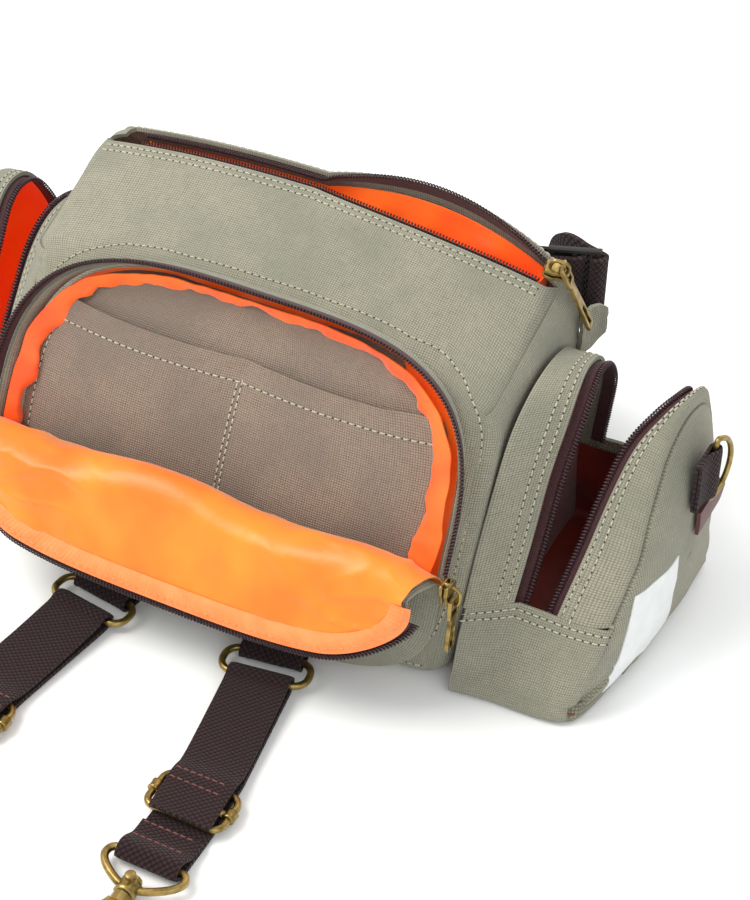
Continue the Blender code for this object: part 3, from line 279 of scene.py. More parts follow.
def front_panel(s, t):
    """Front panel: s runs from left to right, t from the base up the front and over to the zip."""
    climb = 0.70
    if t <= climb:
        cube = (s, -1.0, mix(-1.0, 1.0, t / climb))
    else:
        cube = (s, mix(-1.0, SLIT_FRONT, (t - climb) / (1.0 - climb)), 1.0)
    point = body_point(*cube)
    rim = body_point(s, SLIT_FRONT, 1.0)
    pull = slit_edge(rim.x, False) - rim
    near_zip = ease(climb + 0.02, 1.0, t)
    point += pull * near_zip * (1.0 - ease(0.93, 1.0, abs(s)))
    if t > 0.06:
        point = soft_wall(point, (0.0, -0.7, 0.5), 0.9 * ease(0.06, 0.2, t) * (1.0 - ease(0.9, 1.0, t)))
    return point + Vector((0.0, 0.8, -0.5)) * seam_dip(s)


def back_panel(s, t):
    """Back panel: s runs from left to right, t from the base up the back and over to the zip."""
    climb = 0.88
    if t <= climb:
        cube = (s, 1.0, mix(-1.0, 1.0, t / climb))
    else:
        cube = (s, mix(1.0, SLIT_BACK, (t - climb) / (1.0 - climb)), 1.0)
    point = body_point(*cube)
    rim = body_point(s, SLIT_BACK, 1.0)
    pull = slit_edge(rim.x, True) - rim
    near_zip = ease(0.80, 1.0, t)
    point += pull * near_zip * (1.0 - ease(0.93, 1.0, abs(s)))
    return point + Vector((0.0, -0.8, -0.4)) * seam_dip(s)


def side_panel(sign):
    """Side panel of one end: s runs from front to back, t from the base up."""
    def place(s, t):
        point = body_point(sign, mix(-1.0, 1.0, s), mix(-1.0, 1.0, t))
        hollow = sin(pi * s) * sin(pi * t)
        return point - Vector((sign, 0, 0)) * (1.4 * hollow + 1.3 * ease(0.93, 1.0, abs(2 * s - 1))
                                               - 0.8 * lumps(point, 26.0))
    return place


def top_end(sign):
    """Short piece of the top beyond the zip's end."""
    def place(s, t):
        share = mix(SLIT_END - 0.02, 1.0, s)
        point = body_point(sign * share, mix(SLIT_FRONT, SLIT_BACK, t), 1.0)
        return point - Vector((0, 0, 0.4)) * ease(0.9, 1.0, s)
    return place


def base_panel(s, t):
    return body_point(s, mix(-1.0, 1.0, t), -1.0)


def cloth_sheet(name, place, across, down):
    """A grid primitive laid over a surface; place(s, t) gives its points in millimetres for s and t
    from 0 to 1.  Its UV map is in millimetres along the cloth, so that a weave follows it."""
    bpy.ops.object.select_all(action="DESELECT")
    bpy.ops.mesh.primitive_grid_add(x_subdivisions=across, y_subdivisions=down, size=1.0)
    sheet = bpy.context.object
    sheet.name = name
    sheet.data.name = name
    grid = {}
    for vertex in sheet.data.vertices:
        column = round((vertex.co.x + 0.5) * across)
        row = round((vertex.co.y + 0.5) * down)
        point = Vector(place(column / across, row / down))
        grid[column, row] = point
        vertex.co = point * MM
    wide = [sum((grid[i, j] - grid[i - 1, j]).length for j in range(down + 1)) / (down + 1)
            for i in range(1, across + 1)]
    tall = [sum((grid[i, j] - grid[i, j - 1]).length for i in range(across + 1)) / (across + 1)
            for j in range(1, down + 1)]
    along = np.concatenate(([0.0], np.cumsum(wide)))
    up = np.concatenate(([0.0], np.cumsum(tall)))
    uv = sheet.data.uv_layers.active.data
    for loop in uv:
        loop.uv = (along[round(loop.uv.x * across)], up[round(loop.uv.y * down)])
    sheet["area"] = sum(p.area for p in sheet.data.polygons)
    sheet["flat"] = (max(sum((grid[i, j] - grid[i - 1, j]).length for i in range(1, across + 1))
                         for j in range(down + 1)) * MM,
                     max(sum((grid[i, j] - grid[i, j - 1]).length for j in range(1, down + 1))
                         for i in range(across + 1)) * MM)
    return sheet


def finish_cloth(sheet, material, thick, offset=-1.0):
    """Gives a sheet its thickness, a smooth surface and its material."""
    sheet.data.materials.append(material)
    bpy.context.view_layer.objects.active = sheet
    wall = sheet.modifiers.new("wall", "SOLIDIFY")
    wall.thickness = thick * MM
    wall.offset = offset
    bpy.ops.object.modifier_apply(modifier=wall.name)
    sheet.data.shade_smooth()
    sheet.select_set(True)
    bpy.ops.object.shade_smooth_by_angle(angle=radians(50.0))
    return sheet


def dress(piece, slot_name, *nodes):
    """The piece rides on the bag and stands for plain solids, which it hides; slot_name is not used."""
    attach(piece, "pack")
    if nodes:
        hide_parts(*nodes)


def woven(material, spacing, place):
    """Height and thread parity of a plain weave: a small crown wherever one thread lies on another."""
    scaled = add_node(material, "Mapping", {"Vector": place, "Scale": (pi / spacing, pi / spacing, 1.0)})
    axes = add_node(material, "SeparateXYZ", {"Vector": scaled})
    warp = add_node(material, "Math", {0: axes.outputs["X"]}, operation="SINE")
    weft = add_node(material, "Math", {0: axes.outputs["Y"]}, operation="SINE")
    both = add_node(material, "Math", {0: warp, 1: weft}, operation="MULTIPLY")
    crown = add_node(material, "Math", {0: both}, operation="ABSOLUTE")
    return (crown, both)


def cotton_canvas(name, pale, deep, cool, spacing=1.0):
    """Plain-woven cotton duck, dyed and washed: matt, with thread crowns painted lighter as a painted
    highlight and uneven yarns.  The real thread is 0.75 mm; it is drawn at 1 mm, so that it shows."""
    material = new_material(name)
    cloth = add_node(material, "UVMap")
    place = add_node(material, "TexCoord").outputs["Object"]
    crown, parity = woven(material, spacing, cloth)
    slub_way = add_node(material, "Mapping", {"Vector": cloth, "Scale": (1.4, 0.16, 1.0)})
    slub = add_node(material, "TexNoise", {"Vector": slub_way, "Scale": 1.0})
    fill_way = add_node(material, "Mapping", {"Vector": cloth, "Scale": (0.16, 1.4, 1.0)})
    fill = add_node(material, "TexNoise", {"Vector": fill_way, "Scale": 1.0})
    yarn = add_node(material, "Math", {0: slub, 1: fill}, operation="ADD")
    # Thread crowns painted lighter and the hollows darker: painted highlight and painted shade.
    light = add_node(material, "Math", {0: crown, 1: 0.95, 2: -0.25}, operation="MULTIPLY_ADD")
    tone = add_node(material, "Math", {0: yarn, 1: 0.55, 2: light}, operation="MULTIPLY_ADD")
    step = add_node(material, "Math", {0: parity, 1: 0.1, 2: tone}, operation="MULTIPLY_ADD",
        use_clamp=True)
    dyed = add_node(material, "Mix", {"Factor": step, "A": linear(deep), "B": linear(pale)},
        data_type="RGBA")
    patch = add_node(material, "TexNoise", {"Vector": place, "Scale": 28.0, "Detail": 3.0})
    cooled = add_node(material, "MapRange", {"Value": patch, "From Min": 0.42, "From Max": 0.62,
        "To Max": 0.45})
    washed = add_node(material, "Mix", {"Factor": cooled, "A": dyed, "B": linear(cool)}, data_type="RGBA")
    bump = add_node(material, "Bump", {"Height": crown, "Strength": 0.75, "Distance": 0.35 * MM})
    set_shader(material, {"Base Color": washed, "Roughness": 0.92, "Normal": bump, "Sheen Weight": 0.15,
        "Specular IOR Level": 0.25})
    return material


canvas = cotton_canvas("washed_cotton_canvas", "#A5A08C", "#5C5D50", "#797B6D")
bag_pieces = []
for side, surface, steps, offset in (("front", front_panel, 88, -1.0), ("back", back_panel, 60, 1.0)):
    panel = cloth_sheet("bag_" + side, lambda s, t, surface=surface: surface(2.0 * s - 1.0, t), steps, steps)
    bag_pieces.append(finish_cloth(panel, canvas, CANVAS_THICK, offset))
for side, sign in (("right", 1), ("left", -1)):
    panel = cloth_sheet("bag_side_" + side, side_panel(sign), 44, 44)
    bag_pieces.append(finish_cloth(panel, canvas, CANVAS_THICK, -sign))
    end = cloth_sheet("bag_top_end_" + side, top_end(sign), 8, 10)
    bag_pieces.append(finish_cloth(end, canvas, CANVAS_THICK, -sign))
base = cloth_sheet("bag_base", lambda s, t: base_panel(2.0 * s - 1.0, t), 50, 30)
bag_pieces.append(finish_cloth(base, canvas, CANVAS_THICK, 1.0))
for piece in bag_pieces:
    dress(piece, "cotton_canvas")
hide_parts("main_bag_canvas")


# Lining of the main bag: a loose sack of bright satin, sewn in at the zip.  It hangs in slack folds
# that show where the zip is open.

ZIP_REACH = 88.0
SACK_SHRINK = 0.97
SACK_FRONT_Y = -30.0
SACK_BACK_Y = 46.0
SACK_FLOOR_Z = 12.0
LINING_THICK = 0.6


def satin_lining(name, shade, lit, painted_glow):
    """Polyester satin: smooth filament yarns with a soft sheen, creased by handling; its shade and lit
    colours are painted shade and painted light, and its emission is a painted glow.
    """
    material = new_material(name)
    cloth = add_node(material, "UVMap")
    place = add_node(material, "TexCoord").outputs["Object"]
    crease = add_node(material, "TexNoise", {"Vector": place, "Scale": 95.0, "Detail": 4.0,
        "Distortion": 0.6})
    thread_way = add_node(material, "Mapping", {"Vector": cloth, "Scale": (3.0, 0.25, 1.0)})
    thread = add_node(material, "TexNoise", {"Vector": thread_way, "Scale": 1.0, "Detail": 2.0})
    # Slow random patches between the painted shade and painted light colours.
    patch = add_node(material, "TexNoise", {"Vector": place, "Scale": 32.0})
    spread = add_node(material, "MapRange", {"Value": patch, "From Min": 0.35, "From Max": 0.66})
    dyed = add_node(material, "Mix", {"Factor": spread, "A": linear(shade), "B": linear(lit)},
        data_type="RGBA")
    height = add_node(material, "Math", {0: thread, 1: 0.12, 2: crease}, operation="MULTIPLY_ADD")
    bump = add_node(material, "Bump", {"Height": height, "Strength": 0.35, "Distance": 1.2 * MM})
    # The emission is a painted glow; the satin is no lamp.
    set_shader(material, {"Base Color": dyed, "Roughness": 0.42, "Normal": bump, "Sheen Weight": 0.25,
        "Emission Color": linear(painted_glow), "Emission Strength": 0.1})
    return material


# Main lining satin, with a painted orange glow from its emission.
orange = satin_lining("orange_satin", "#FF5208", "#FF7A1E", "#FF5A10")


def sack_front(s, t):
    """Front half of the sack, from its floor up to the zip's front tape."""
    x = mix(-ZIP_REACH, ZIP_REACH, s)
    top = slit_edge(x, False)
    deep = Vector((x * SACK_SHRINK, SACK_FRONT_Y + 4.0 * sin(x / 9.0), SACK_FLOOR_Z))
    high = Vector((x, top.y - 1.5, top.z - 5.0))
    point = deep.lerp(high, t)
    point.y -= 13.0 * sin(pi * t) - 3.0 * lumps(point, 15.0) * sin(pi * t)
    return point


def sack_back(s, t):
    """Back half of the sack: it bellies forward below the open tape, in a few slack folds."""
    x = mix(-ZIP_REACH, ZIP_REACH, s)
    top = slit_edge(x, True)
    deep = Vector((x * SACK_SHRINK, SACK_BACK_Y, SACK_FLOOR_Z))
    high = Vector((x, top.y - 1.0 - 2.0 * zip_lean(x), top.z - 5.6))
    point = deep.lerp(high, t)
    slack = ease(0.35, 0.8, t) * (1.0 - ease(0.9, 1.0, t))
    fold = sin(x / 7.5 + 2.2 * lumps((x, 0, 30 * t), 22.0)) + 0.8 * lumps((x, 5, 60 * t), 12.0)
    point.y -= slack * (2.0 + 1.9 * fold)
    return point


def sack_floor(s, t):
    x = mix(-ZIP_REACH, ZIP_REACH, s) * SACK_SHRINK
    return Vector((x, mix(SACK_FRONT_Y + 4.0 * sin(x / 9.0), SACK_BACK_Y, t), SACK_FLOOR_Z))


def sack_end(sign):
    def place(s, t):
        low = Vector((sign * ZIP_REACH * SACK_SHRINK, mix(SACK_FRONT_Y, SACK_BACK_Y, s), SACK_FLOOR_Z))
        x = sign * ZIP_REACH
        across = mix(slit_edge(x, False).y - 1.5, slit_edge(x, True).y - 1.0, s)
        high = Vector((x, across, top_z(x, 0.66) - 5.5))
        return low.lerp(high, t) + Vector((sign * 6.0 * sin(pi * t) * sin(pi * s), 0, 0))
    return place


sack = [cloth_sheet("bag_lining_front", sack_front, 80, 40),
        cloth_sheet("bag_lining_back", sack_back, 120, 50),
        cloth_sheet("bag_lining_floor", sack_floor, 40, 12),
        cloth_sheet("bag_lining_right", sack_end(1), 12, 30),
        cloth_sheet("bag_lining_left", sack_end(-1), 12, 30)]
for piece in sack:
    finish_cloth(piece, orange, LINING_THICK, 0.0)
    dress(piece, "satin_lining")
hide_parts("main_bag_lining")


# Top zip: a size 5 coil zip, closed on the left half and open on the right.  Its two tapes are
# woven polyester, and along each runs a coil of stiff nylon thread.

TAPE_WIDTH = 6.0
TAPE_THICK = 0.7
COIL_WIDTH = 2.9
COIL_HEIGHT = 2.2
COIL_PITCH = 1.35
COIL_THREAD = 0.75
COIL_STEPS = 8
COIL_SIDES = 5


def zip_tape_cloth():
    """Woven polyester tape: dense, dark maroon, with fine ribs across whose crowns are painted lighter as a
    painted highlight.
    """
    material = new_material("maroon_zip_tape")
    cloth = add_node(material, "UVMap")
    crown, _parity = woven(material, 0.8, cloth)
    fuzz = add_node(material, "TexNoise", {"Vector": cloth, "Scale": 0.6, "Detail": 3.0})
    # Rib crowns painted lighter: painted highlight.
    shade = add_node(material, "Math", {0: crown, 1: 0.6, 2: fuzz}, operation="MULTIPLY_ADD",
        use_clamp=True)
    dyed = add_node(material, "Mix", {"Factor": shade, "A": linear("#1E0C0E"), "B": linear("#4A2426")},
        data_type="RGBA")
    bump = add_node(material, "Bump", {"Height": crown, "Strength": 0.6, "Distance": 0.2 * MM})
    set_shader(material, {"Base Color": dyed, "Roughness": 0.8, "Normal": bump, "Sheen Weight": 0.1})
    return material


def nylon_coil():
    """Extruded nylon thread: smooth and slightly glossy, with pinkish lights on dark maroon."""
    material = new_material("nylon_coil")
    place = add_node(material, "TexCoord").outputs["Object"]
    grain = add_node(material, "TexNoise", {"Vector": place, "Scale": 700.0})
    dyed = add_node(material, "Mix", {"Factor": grain, "A": linear("#1A0B0E"), "B": linear("#43262B")},
        data_type="RGBA")
    set_shader(material, {"Base Color": dyed, "Roughness": 0.32})
    return material


def even_steps(points, spacing):
    """Indices and shares that split a path into equal steps of about the spacing."""
    lengths = [(b - a).length for a, b in zip(points, points[1:])]
    total = sum(lengths)
    count = max(2, round(total / spacing))
    places, start, i = [], 0.0, 0
    for step in range(count + 1):
        want = total * step / count
        while i < len(lengths) - 1 and start + lengths[i] < want:
            start += lengths[i]
            i += 1
        places.append((i, (want - start) / lengths[i]))
    return places


def sampled(values, place):
    i, share = place
    return values[i].lerp(values[i + 1], share)


def zip_tape(name, path, across, up):
    """Flat tape along a path down its middle; across points to the coil's edge."""
    places = even_steps(path, 2.0)

    def surface(s, t):
        place = places[round(s * (len(places) - 1))]
        side = sampled(across, place).normalized()
        return sampled(path, place) + side * mix(-TAPE_WIDTH / 2, TAPE_WIDTH / 2 - COIL_WIDTH * 0.4, t)

    tape = cloth_sheet(name, surface, len(places) - 1, 6)
    middle = places[len(places) // 2]
    facing = tape.data.polygons[len(tape.data.polygons) // 2].normal
    outward = 1.0 if facing.dot(sampled(up, middle)) > 0.0 else -1.0
    finish_cloth(tape, tape_cloth, TAPE_THICK, -outward)
    return tape


def one_mesh(name, verts, faces, material):
    """Smooth mesh from points in millimetres and faces."""
    mesh = bpy.data.meshes.new(name)
    mesh.from_pydata([Vector(v) * MM for v in verts], [], faces)
    mesh.materials.append(material)
    mesh.shade_smooth()
    obj = bpy.data.objects.new(name, mesh)
    bpy.context.scene.collection.objects.link(obj)
    return obj


def tube(name, points, frames, radius, sides, material, closed=False):
    """Round thread along points; frames give two directions across it at each point."""
    rings = []
    for point, (one, two) in zip(points, frames):
        rings.append([point + one * cos(2 * pi * k / sides) * radius + two * sin(2 * pi * k / sides) * radius
                      for k in range(sides)])
    verts = [p for ring in rings for p in ring]
    faces = []
    for r in range(len(rings) - (0 if closed else 1)):
        nxt = (r + 1) % len(rings)
        for c in range(sides):
            d = (c + 1) % sides
            faces.append((r * sides + c, r * sides + d, nxt * sides + d, nxt * sides + c))
    if not closed:
        faces.append(tuple(reversed(range(sides))))
        faces.append(tuple((len(rings) - 1) * sides + c for c in range(sides)))
    return one_mesh(name, verts, faces, material)


def zip_coil(name, path, across, up):
    """Nylon helix flattened to the zip's section, one turn for each tooth."""
    places = even_steps(path, COIL_PITCH)
    turns = len(places) - 1
    points, frames = [], []
    for step in range(turns * COIL_STEPS + 1):
        low = min(step // COIL_STEPS, turns - 1)
        share = step / COIL_STEPS - low
        centre = sampled(path, places[low]).lerp(sampled(path, places[low + 1]), share)
        side = sampled(across, places[low]).normalized()
        out = sampled(up, places[low]).normalized()
        angle = 2 * pi * step / COIL_STEPS
        ring = side * cos(angle) * (COIL_WIDTH / 2 - COIL_THREAD / 2) \
            + out * sin(angle) * (COIL_HEIGHT / 2 - COIL_THREAD / 2)
        middle = side * (TAPE_WIDTH / 2 - COIL_WIDTH / 2)
        points.append(centre + middle + ring + out * 0.3)
        ahead = side.cross(out)
        frames.append((ring.normalized(), ahead.normalized()))
    return tube(name, points, frames, COIL_THREAD / 2, COIL_SIDES, coil_nylon)


tape_cloth = zip_tape_cloth()
coil_nylon = nylon_coil()


def add_zip(node, path, across, up):
    """Tape and coil of one zip half, in place of its plain solid."""
    tape = zip_tape(node + "_tape", path, across, up)
    coil = zip_coil(node + "_coil", path, across, up)
    dress(tape, "zip_tape", node)
    dress(coil, "zip_tape")


def main_zip(back):
    path, across, up = [], [], []
    for i in range(61):
        x = mix(-ZIP_REACH, ZIP_REACH, i / 60)
        edge = slit_edge(x, back)
        rise = radians(30.0 + 42.0 * zip_lean(x)) if back else radians(6.0)
        facing = -1 if back else 1
        towards = Vector((0, facing * cos(rise), sin(rise)))
        outward = Vector((0, -facing * sin(rise), cos(rise)))
        path.append(edge + towards * (TAPE_WIDTH / 2 - 0.9) - outward * (1.1 + CANVAS_THICK))
        across.append(towards)
        up.append(outward)
    return path, across, up


add_zip("main_zip_front_half", *main_zip(False))
add_zip("main_zip_back_half", *main_zip(True))


# Front pocket: a canvas band stands off the bag's front wall round a wide rounded mouth, and the
# bucket below it is closed by a panel that folds out and down as the open flap.  Band and panel
# are lined in orange satin, and the band's lining is slack and hangs in folds.

POCKET_HALF_WIDTH = 101.0
HINGE_Z = 56.0
POCKET_RISE = 69.0
POCKET_DROP = 52.0
POCKET_ROUND = 3.5
POCKET_DEPTH = 15.0
BUCKET_DEPTH = 11.0
BAND_SHRINK = 0.955
TAPE_SHARE = 0.58
BUCKET_SHARE = 0.6
FOLD_RADIUS = 9.0
FOLD_TURN = radians(153.0)
FOLD_ARC = FOLD_TURN * FOLD_RADIUS
FLAP_REACH = 37.0
FLAP_ROUND = 3.2


def ring_point(angle, wide, rise, drop):
    """Rounded outline in the front view, counted from the right end of the hinge line."""
    c, s = cos(angle), sin(angle)
    scale = (abs(c) ** POCKET_ROUND + abs(s) ** POCKET_ROUND) ** (-1 / POCKET_ROUND)
    return wide * c * scale, HINGE_Z + (rise if s > 0 else drop) * s * scale


def mouth_y(z):
    if z > HINGE_Z:
        return front_y(z) - POCKET_DEPTH
    low = FRONT_FOOT_Y - BUCKET_DEPTH
    return mix(low, front_y(HINGE_Z) - POCKET_DEPTH, power(z / HINGE_Z, 1.2))


def band_point(angle, share, inset=0.0):
    """Point of the pocket's band, from its seam on the bag (0) to the mouth (1)."""
    x0, z0 = ring_point(angle, POCKET_HALF_WIDTH * BAND_SHRINK - inset, POCKET_RISE * 0.93 - inset,
                        POCKET_DROP * 0.97 - inset)
    x1, z1 = ring_point(angle, POCKET_HALF_WIDTH - inset, POCKET_RISE - inset, POCKET_DROP - inset)
    return Vector((x0, front_y(z0) - 1.2, z0)).lerp(Vector((x1, mouth_y(z1), z1)), share)


def band_end(angle):
    """Share of the band that is cloth: all of it in the bucket, less where the zip tape goes on."""
    _x, z = ring_point(angle, POCKET_HALF_WIDTH, POCKET_RISE, POCKET_DROP)
    return mix(BUCKET_SHARE, TAPE_SHARE, min(1.0, max(0.0, (z - HINGE_Z + 12.0) / 8.0)))


def canvas_band(s, t):
    angle = 2 * pi * s
    point = band_point(angle, band_end(angle) * t)
    inward = Vector((-cos(angle), 0.0, -sin(angle)))
    sag = 0.8 * sin(pi * t) * (0.6 + lumps(point, 16.0))
    return point + inward * sag - inward * 0.2


def lining_band(s, t):
    """Slack lining: pulled in over the mouth's upper edge and creased at the two sides."""
    angle = 2 * pi * s
    point = band_point(angle, band_end(angle) * mix(-0.08, 1.02, t), 2.4)
    inward = Vector((-cos(angle), 0.0, -sin(angle)))
    above = ease(0.1, 0.5, sin(angle))
    side = power(abs(cos(angle)), 2.0)
    wave = 1.7 * lumps((point.x, 30 * t, point.z), 13.0, 3.0) \
        + 1.2 * lumps((point.x, 8 * t, point.z), 6.5, 9.0)
    belly = sin(pi * min(1.0, t * 0.92))
    low = 1.0 - ease(-0.9, -0.4, sin(angle))
    right = 1.0 + 0.8 * ease(0.2, 0.8, cos(angle)) * (1.0 - above)
    loose = 0.6 + above * (5.4 + 1.7 * wave) + side * right * (5.4 + 1.8 * wave)
    slack = belly * loose * (1.0 - 0.8 * low)
    return point + inward * slack


band_canvas = finish_cloth(cloth_sheet("pocket_band", canvas_band, 200, 12), canvas, CANVAS_THICK, -1.0)
band_lining = cloth_sheet("pocket_band_lining", lining_band, 300, 16)
finish_cloth(band_lining, orange, 0.5, 0.0)
dress(band_canvas, "cotton_canvas", "front_pocket_gusset")
dress(band_lining, "satin_lining", "front_pocket_gusset_lining")


# Front panel and flap: one piece of canvas, from the base up the bucket, over the fold and down.
# Its lining is the bright face that the open pocket shows, in a satin copy painted as lit, with a bound edge
# beside the zip.

BINDING_WIDTH = 8.0


def fold_path(distance, inset=0.0):
    """Front panel from the side: up the bucket, over the fold and down the open flap."""
    if distance <= 0.0:
        z = HINGE_Z + distance
        return Vector((0, mouth_y(z) - inset, z))
    centre = Vector((0, mouth_y(HINGE_Z) - FOLD_RADIUS, HINGE_Z))
    turn = min(distance, FOLD_ARC) / FOLD_RADIUS
    point = centre + Vector((0, cos(turn), sin(turn))) * (FOLD_RADIUS - inset)
    if distance > FOLD_ARC:
        point += Vector((0, -sin(turn), cos(turn))) * (distance - FOLD_ARC)
    return point


def panel_half_width(distance, tape=0.0):
    """Half width of the front panel; tape is what the zip takes off the flap's edge."""
    if distance <= 0.0:
        fall = min(1.0, -distance / POCKET_DROP)
        return POCKET_HALF_WIDTH * power(1 - fall ** POCKET_ROUND, 1 / POCKET_ROUND)
    run = min(1.0, max(0.0, distance - FOLD_ARC) / (FLAP_REACH - tape))
    taper = min(1.0, distance / FOLD_ARC)
    return (POCKET_HALF_WIDTH - tape * taper) * power(1 - run ** FLAP_ROUND, 1 / FLAP_ROUND)


def panel_point(x, distance, inset=0.0):
    point = fold_path(distance, inset)
    run = max(0.0, distance - FOLD_ARC) / FLAP_REACH
    pull = power((abs(x) - 66.0) / 34.0, 2) * 19.0 * run
    crest = sin(pi * min(1.0, max(0.0, distance / FOLD_ARC)))
    wave = crest * (3.0 * cos(x * pi / 46.0 + 0.9) - 6.0 * power(abs(x) / 100.0, 3))
    return Vector((x, point.y + pull, point.z + wave))


def panel_stop(t):
    """Distance along the panel, from its foot to the flap's edge."""
    return mix(-51.0, FOLD_ARC + (FLAP_REACH - TAPE_WIDTH) * 0.985, t)


def panel_canvas(s, t):
    stop = panel_stop(t)
    wide = panel_half_width(stop, TAPE_WIDTH)
    return panel_point(wide * sin(pi * (s - 0.5)), stop)


def panel_lining(s, t):
    stop = panel_stop(t)
    wide = panel_half_width(stop, TAPE_WIDTH) - 1.0
    x = wide * sin(pi * (s - 0.5))
    slack = ease(-40.0, 0.0, stop) * (1.0 - ease(FOLD_ARC + 22.0, FOLD_ARC + 30.0, stop))
    swell = lumps((x, stop, 0.0), 24.0, 2.0) + 0.4 * lumps((x, stop, 0.0), 9.0, 5.0)
    fold = power(1.0 - abs(lumps((x * 0.6, stop, 0.0), 13.0, 11.0)) * 3.0, 2) * ease(10.0, 60.0, abs(x))
    return panel_point(x, stop, -1.6 - 0.5 * slack - 0.5 * slack * swell - 1.1 * slack * fold)


panel = cloth_sheet("pocket_panel", panel_canvas, 90, 70)
finish_cloth(panel, canvas, 1.2, 1.0)
# Lit copy of the orange satin for the flap's lining: painted light and a weaker painted glow.
painted_light_satin = satin_lining("orange_satin_in_the_light", "#EC7408", "#F08C1A", "#6A2800")
panel_inside = cloth_sheet("pocket_panel_lining", panel_lining, 110, 90)
finish_cloth(panel_inside, painted_light_satin, 0.5, 0.0)
dress(panel, "cotton_canvas", "front_pocket_panel")
dress(panel_inside, "satin_lining", "front_pocket_panel_lining")


def flap_edge(turn, inset, lift=0.0):
    """Point of the flap's rounded edge, counted from its right end, set in by the inset."""
    c = abs(cos(turn)) ** (2 / FLAP_ROUND)
    run = abs(sin(turn)) ** (2 / FLAP_ROUND)
    x = (POCKET_HALF_WIDTH - inset) * c * (1 if cos(turn) >= 0.0 else -1)
    return panel_point(x, FOLD_ARC + (FLAP_REACH - inset) * run, -lift)


def ribbed_binding():
    """Cut edge tape in peach orange: thin ribs across its length, matt beside the satin, with a painted
    glow.
    """
    material = new_material("ribbed_binding_tape")
    cloth = add_node(material, "UVMap")
    rib_way = add_node(material, "Mapping", {"Vector": cloth, "Scale": (pi / 0.9, 0.02, 1.0)})
    rib_axes = add_node(material, "SeparateXYZ", {"Vector": rib_way})
    rib = add_node(material, "Math", {0: rib_axes.outputs["X"]}, operation="SINE")
    fade = add_node(material, "TexNoise", {"Vector": cloth, "Scale": 0.12, "Detail": 3.0})
    dyed = add_node(material, "Mix", {"Factor": fade, "A": linear("#FF7030"), "B": linear("#FF9C5C")},
        data_type="RGBA")
    bump = add_node(material, "Bump", {"Height": rib, "Strength": 0.35, "Distance": 0.15 * MM})
    # The emission is a painted glow; the tape is no lamp.
    set_shader(material, {"Base Color": dyed, "Roughness": 0.7, "Normal": bump,
        "Emission Color": linear("#FF7A3A"), "Emission Strength": 0.08})
    return material


def binding(s, t):
    turn = mix(0.02, pi - 0.02, s)
    inset = mix(TAPE_WIDTH - 2.6, TAPE_WIDTH - 2.6 + BINDING_WIDTH, t)
    roll = 1.0 * power(sin(pi * t), 0.7)
    return flap_edge(turn, inset, 2.4 + roll)


edge_binding = finish_cloth(cloth_sheet("flap_binding", binding, 160, 8), ribbed_binding(), 0.5, 0.0)
dress(edge_binding, "satin_lining")


# Front zip: its mouth half stands round the open band, its flap half runs round the flap's edge.

def mouth_half():
    path, across, up = [], [], []
    for i in range(121):
        angle = mix(0.04, pi - 0.04, i / 120)
        inner = band_point(angle, TAPE_SHARE)
        direction = (band_point(angle, 1.0) - inner).normalized()
        x, z = ring_point(angle, 1.0, 1.0, 1.0)
        path.append(inner + direction * (TAPE_WIDTH / 2 + 0.5))
        across.append(direction)
        up.append(Vector((x, 0, z - HINGE_Z)).normalized())
    return path, across, up


def flap_half():
    path, across, up = [], [], []
    for i in range(121):
        turn = mix(0.06 * pi, 0.95 * pi, i / 120)
        inner = flap_edge(turn, TAPE_WIDTH - 0.8)
        outer = flap_edge(turn, 0.0)
        path.append((inner + outer) / 2)
        across.append((outer - inner).normalized())
        up.append(Vector((0, -0.5, 0.86)))
    return path, across, up


add_zip("front_zip_mouth_half", *mouth_half())
add_zip("front_zip_flap_half", *flap_half())


# Back wall of the front pocket: warm grey canvas over the bag's front, and a slip pocket sewn on
# it with a turned hem and a seam down the middle.

def wall_clear(x, z):
    """The bag's corners fall back a little, and what is sewn to the wall follows them."""
    return 7.0 * power(abs(x) / HALF_WIDTH, 4) * z / FRONT_TOP_Z


def wall_width(z):
    """Half width of the front wall inside the pocket, clear of the band and its lining."""
    reach = abs(z - HINGE_Z) / ((POCKET_RISE if z > HINGE_Z else POCKET_DROP) - 8.0)
    return (POCKET_HALF_WIDTH * BAND_SHRINK - 6.0) * power(1 - reach ** POCKET_ROUND, 1 / POCKET_ROUND)


def wall_sheet(low, high, stand_off, sag):
    """Sheet of canvas that lies on the bag's front wall inside the pocket."""
    def place(s, t):
        z = mix(low, high, 1 - (1 - t) ** 1.3)
        x = wall_width(z) * mix(-1.0, 1.0, s)
        belly = sag * power(abs(sin(2 * pi * s)), 0.8) * power(t, 1.5)
        swell = 0.7 * lumps((x, 0, z), 26.0, 4.0) * min(1.0, 4 * t) * min(1.0, 4 * (1 - t) + 0.3)
        return Vector((x, front_y(z) + wall_clear(x, z) + dents(x, z) - stand_off - belly - abs(swell), z))
    return place


inner_cotton = cotton_canvas("warm_grey_cotton", "#9C8A79", "#5A4D43", "#716860", 0.95)
wall = cloth_sheet("pocket_wall", wall_sheet(12.0, 116.0, 1.2, 0.0), 90, 60)
finish_cloth(wall, inner_cotton, 0.6, 1.0)
slip = cloth_sheet("slip_pocket", wall_sheet(12.0, 99.0, 2.6, 3.0), 90, 60)
finish_cloth(slip, inner_cotton, 1.2, 1.0)
dress(wall, "inner_canvas", "pocket_back_panel")
dress(slip, "inner_canvas", "slip_pocket_panel")
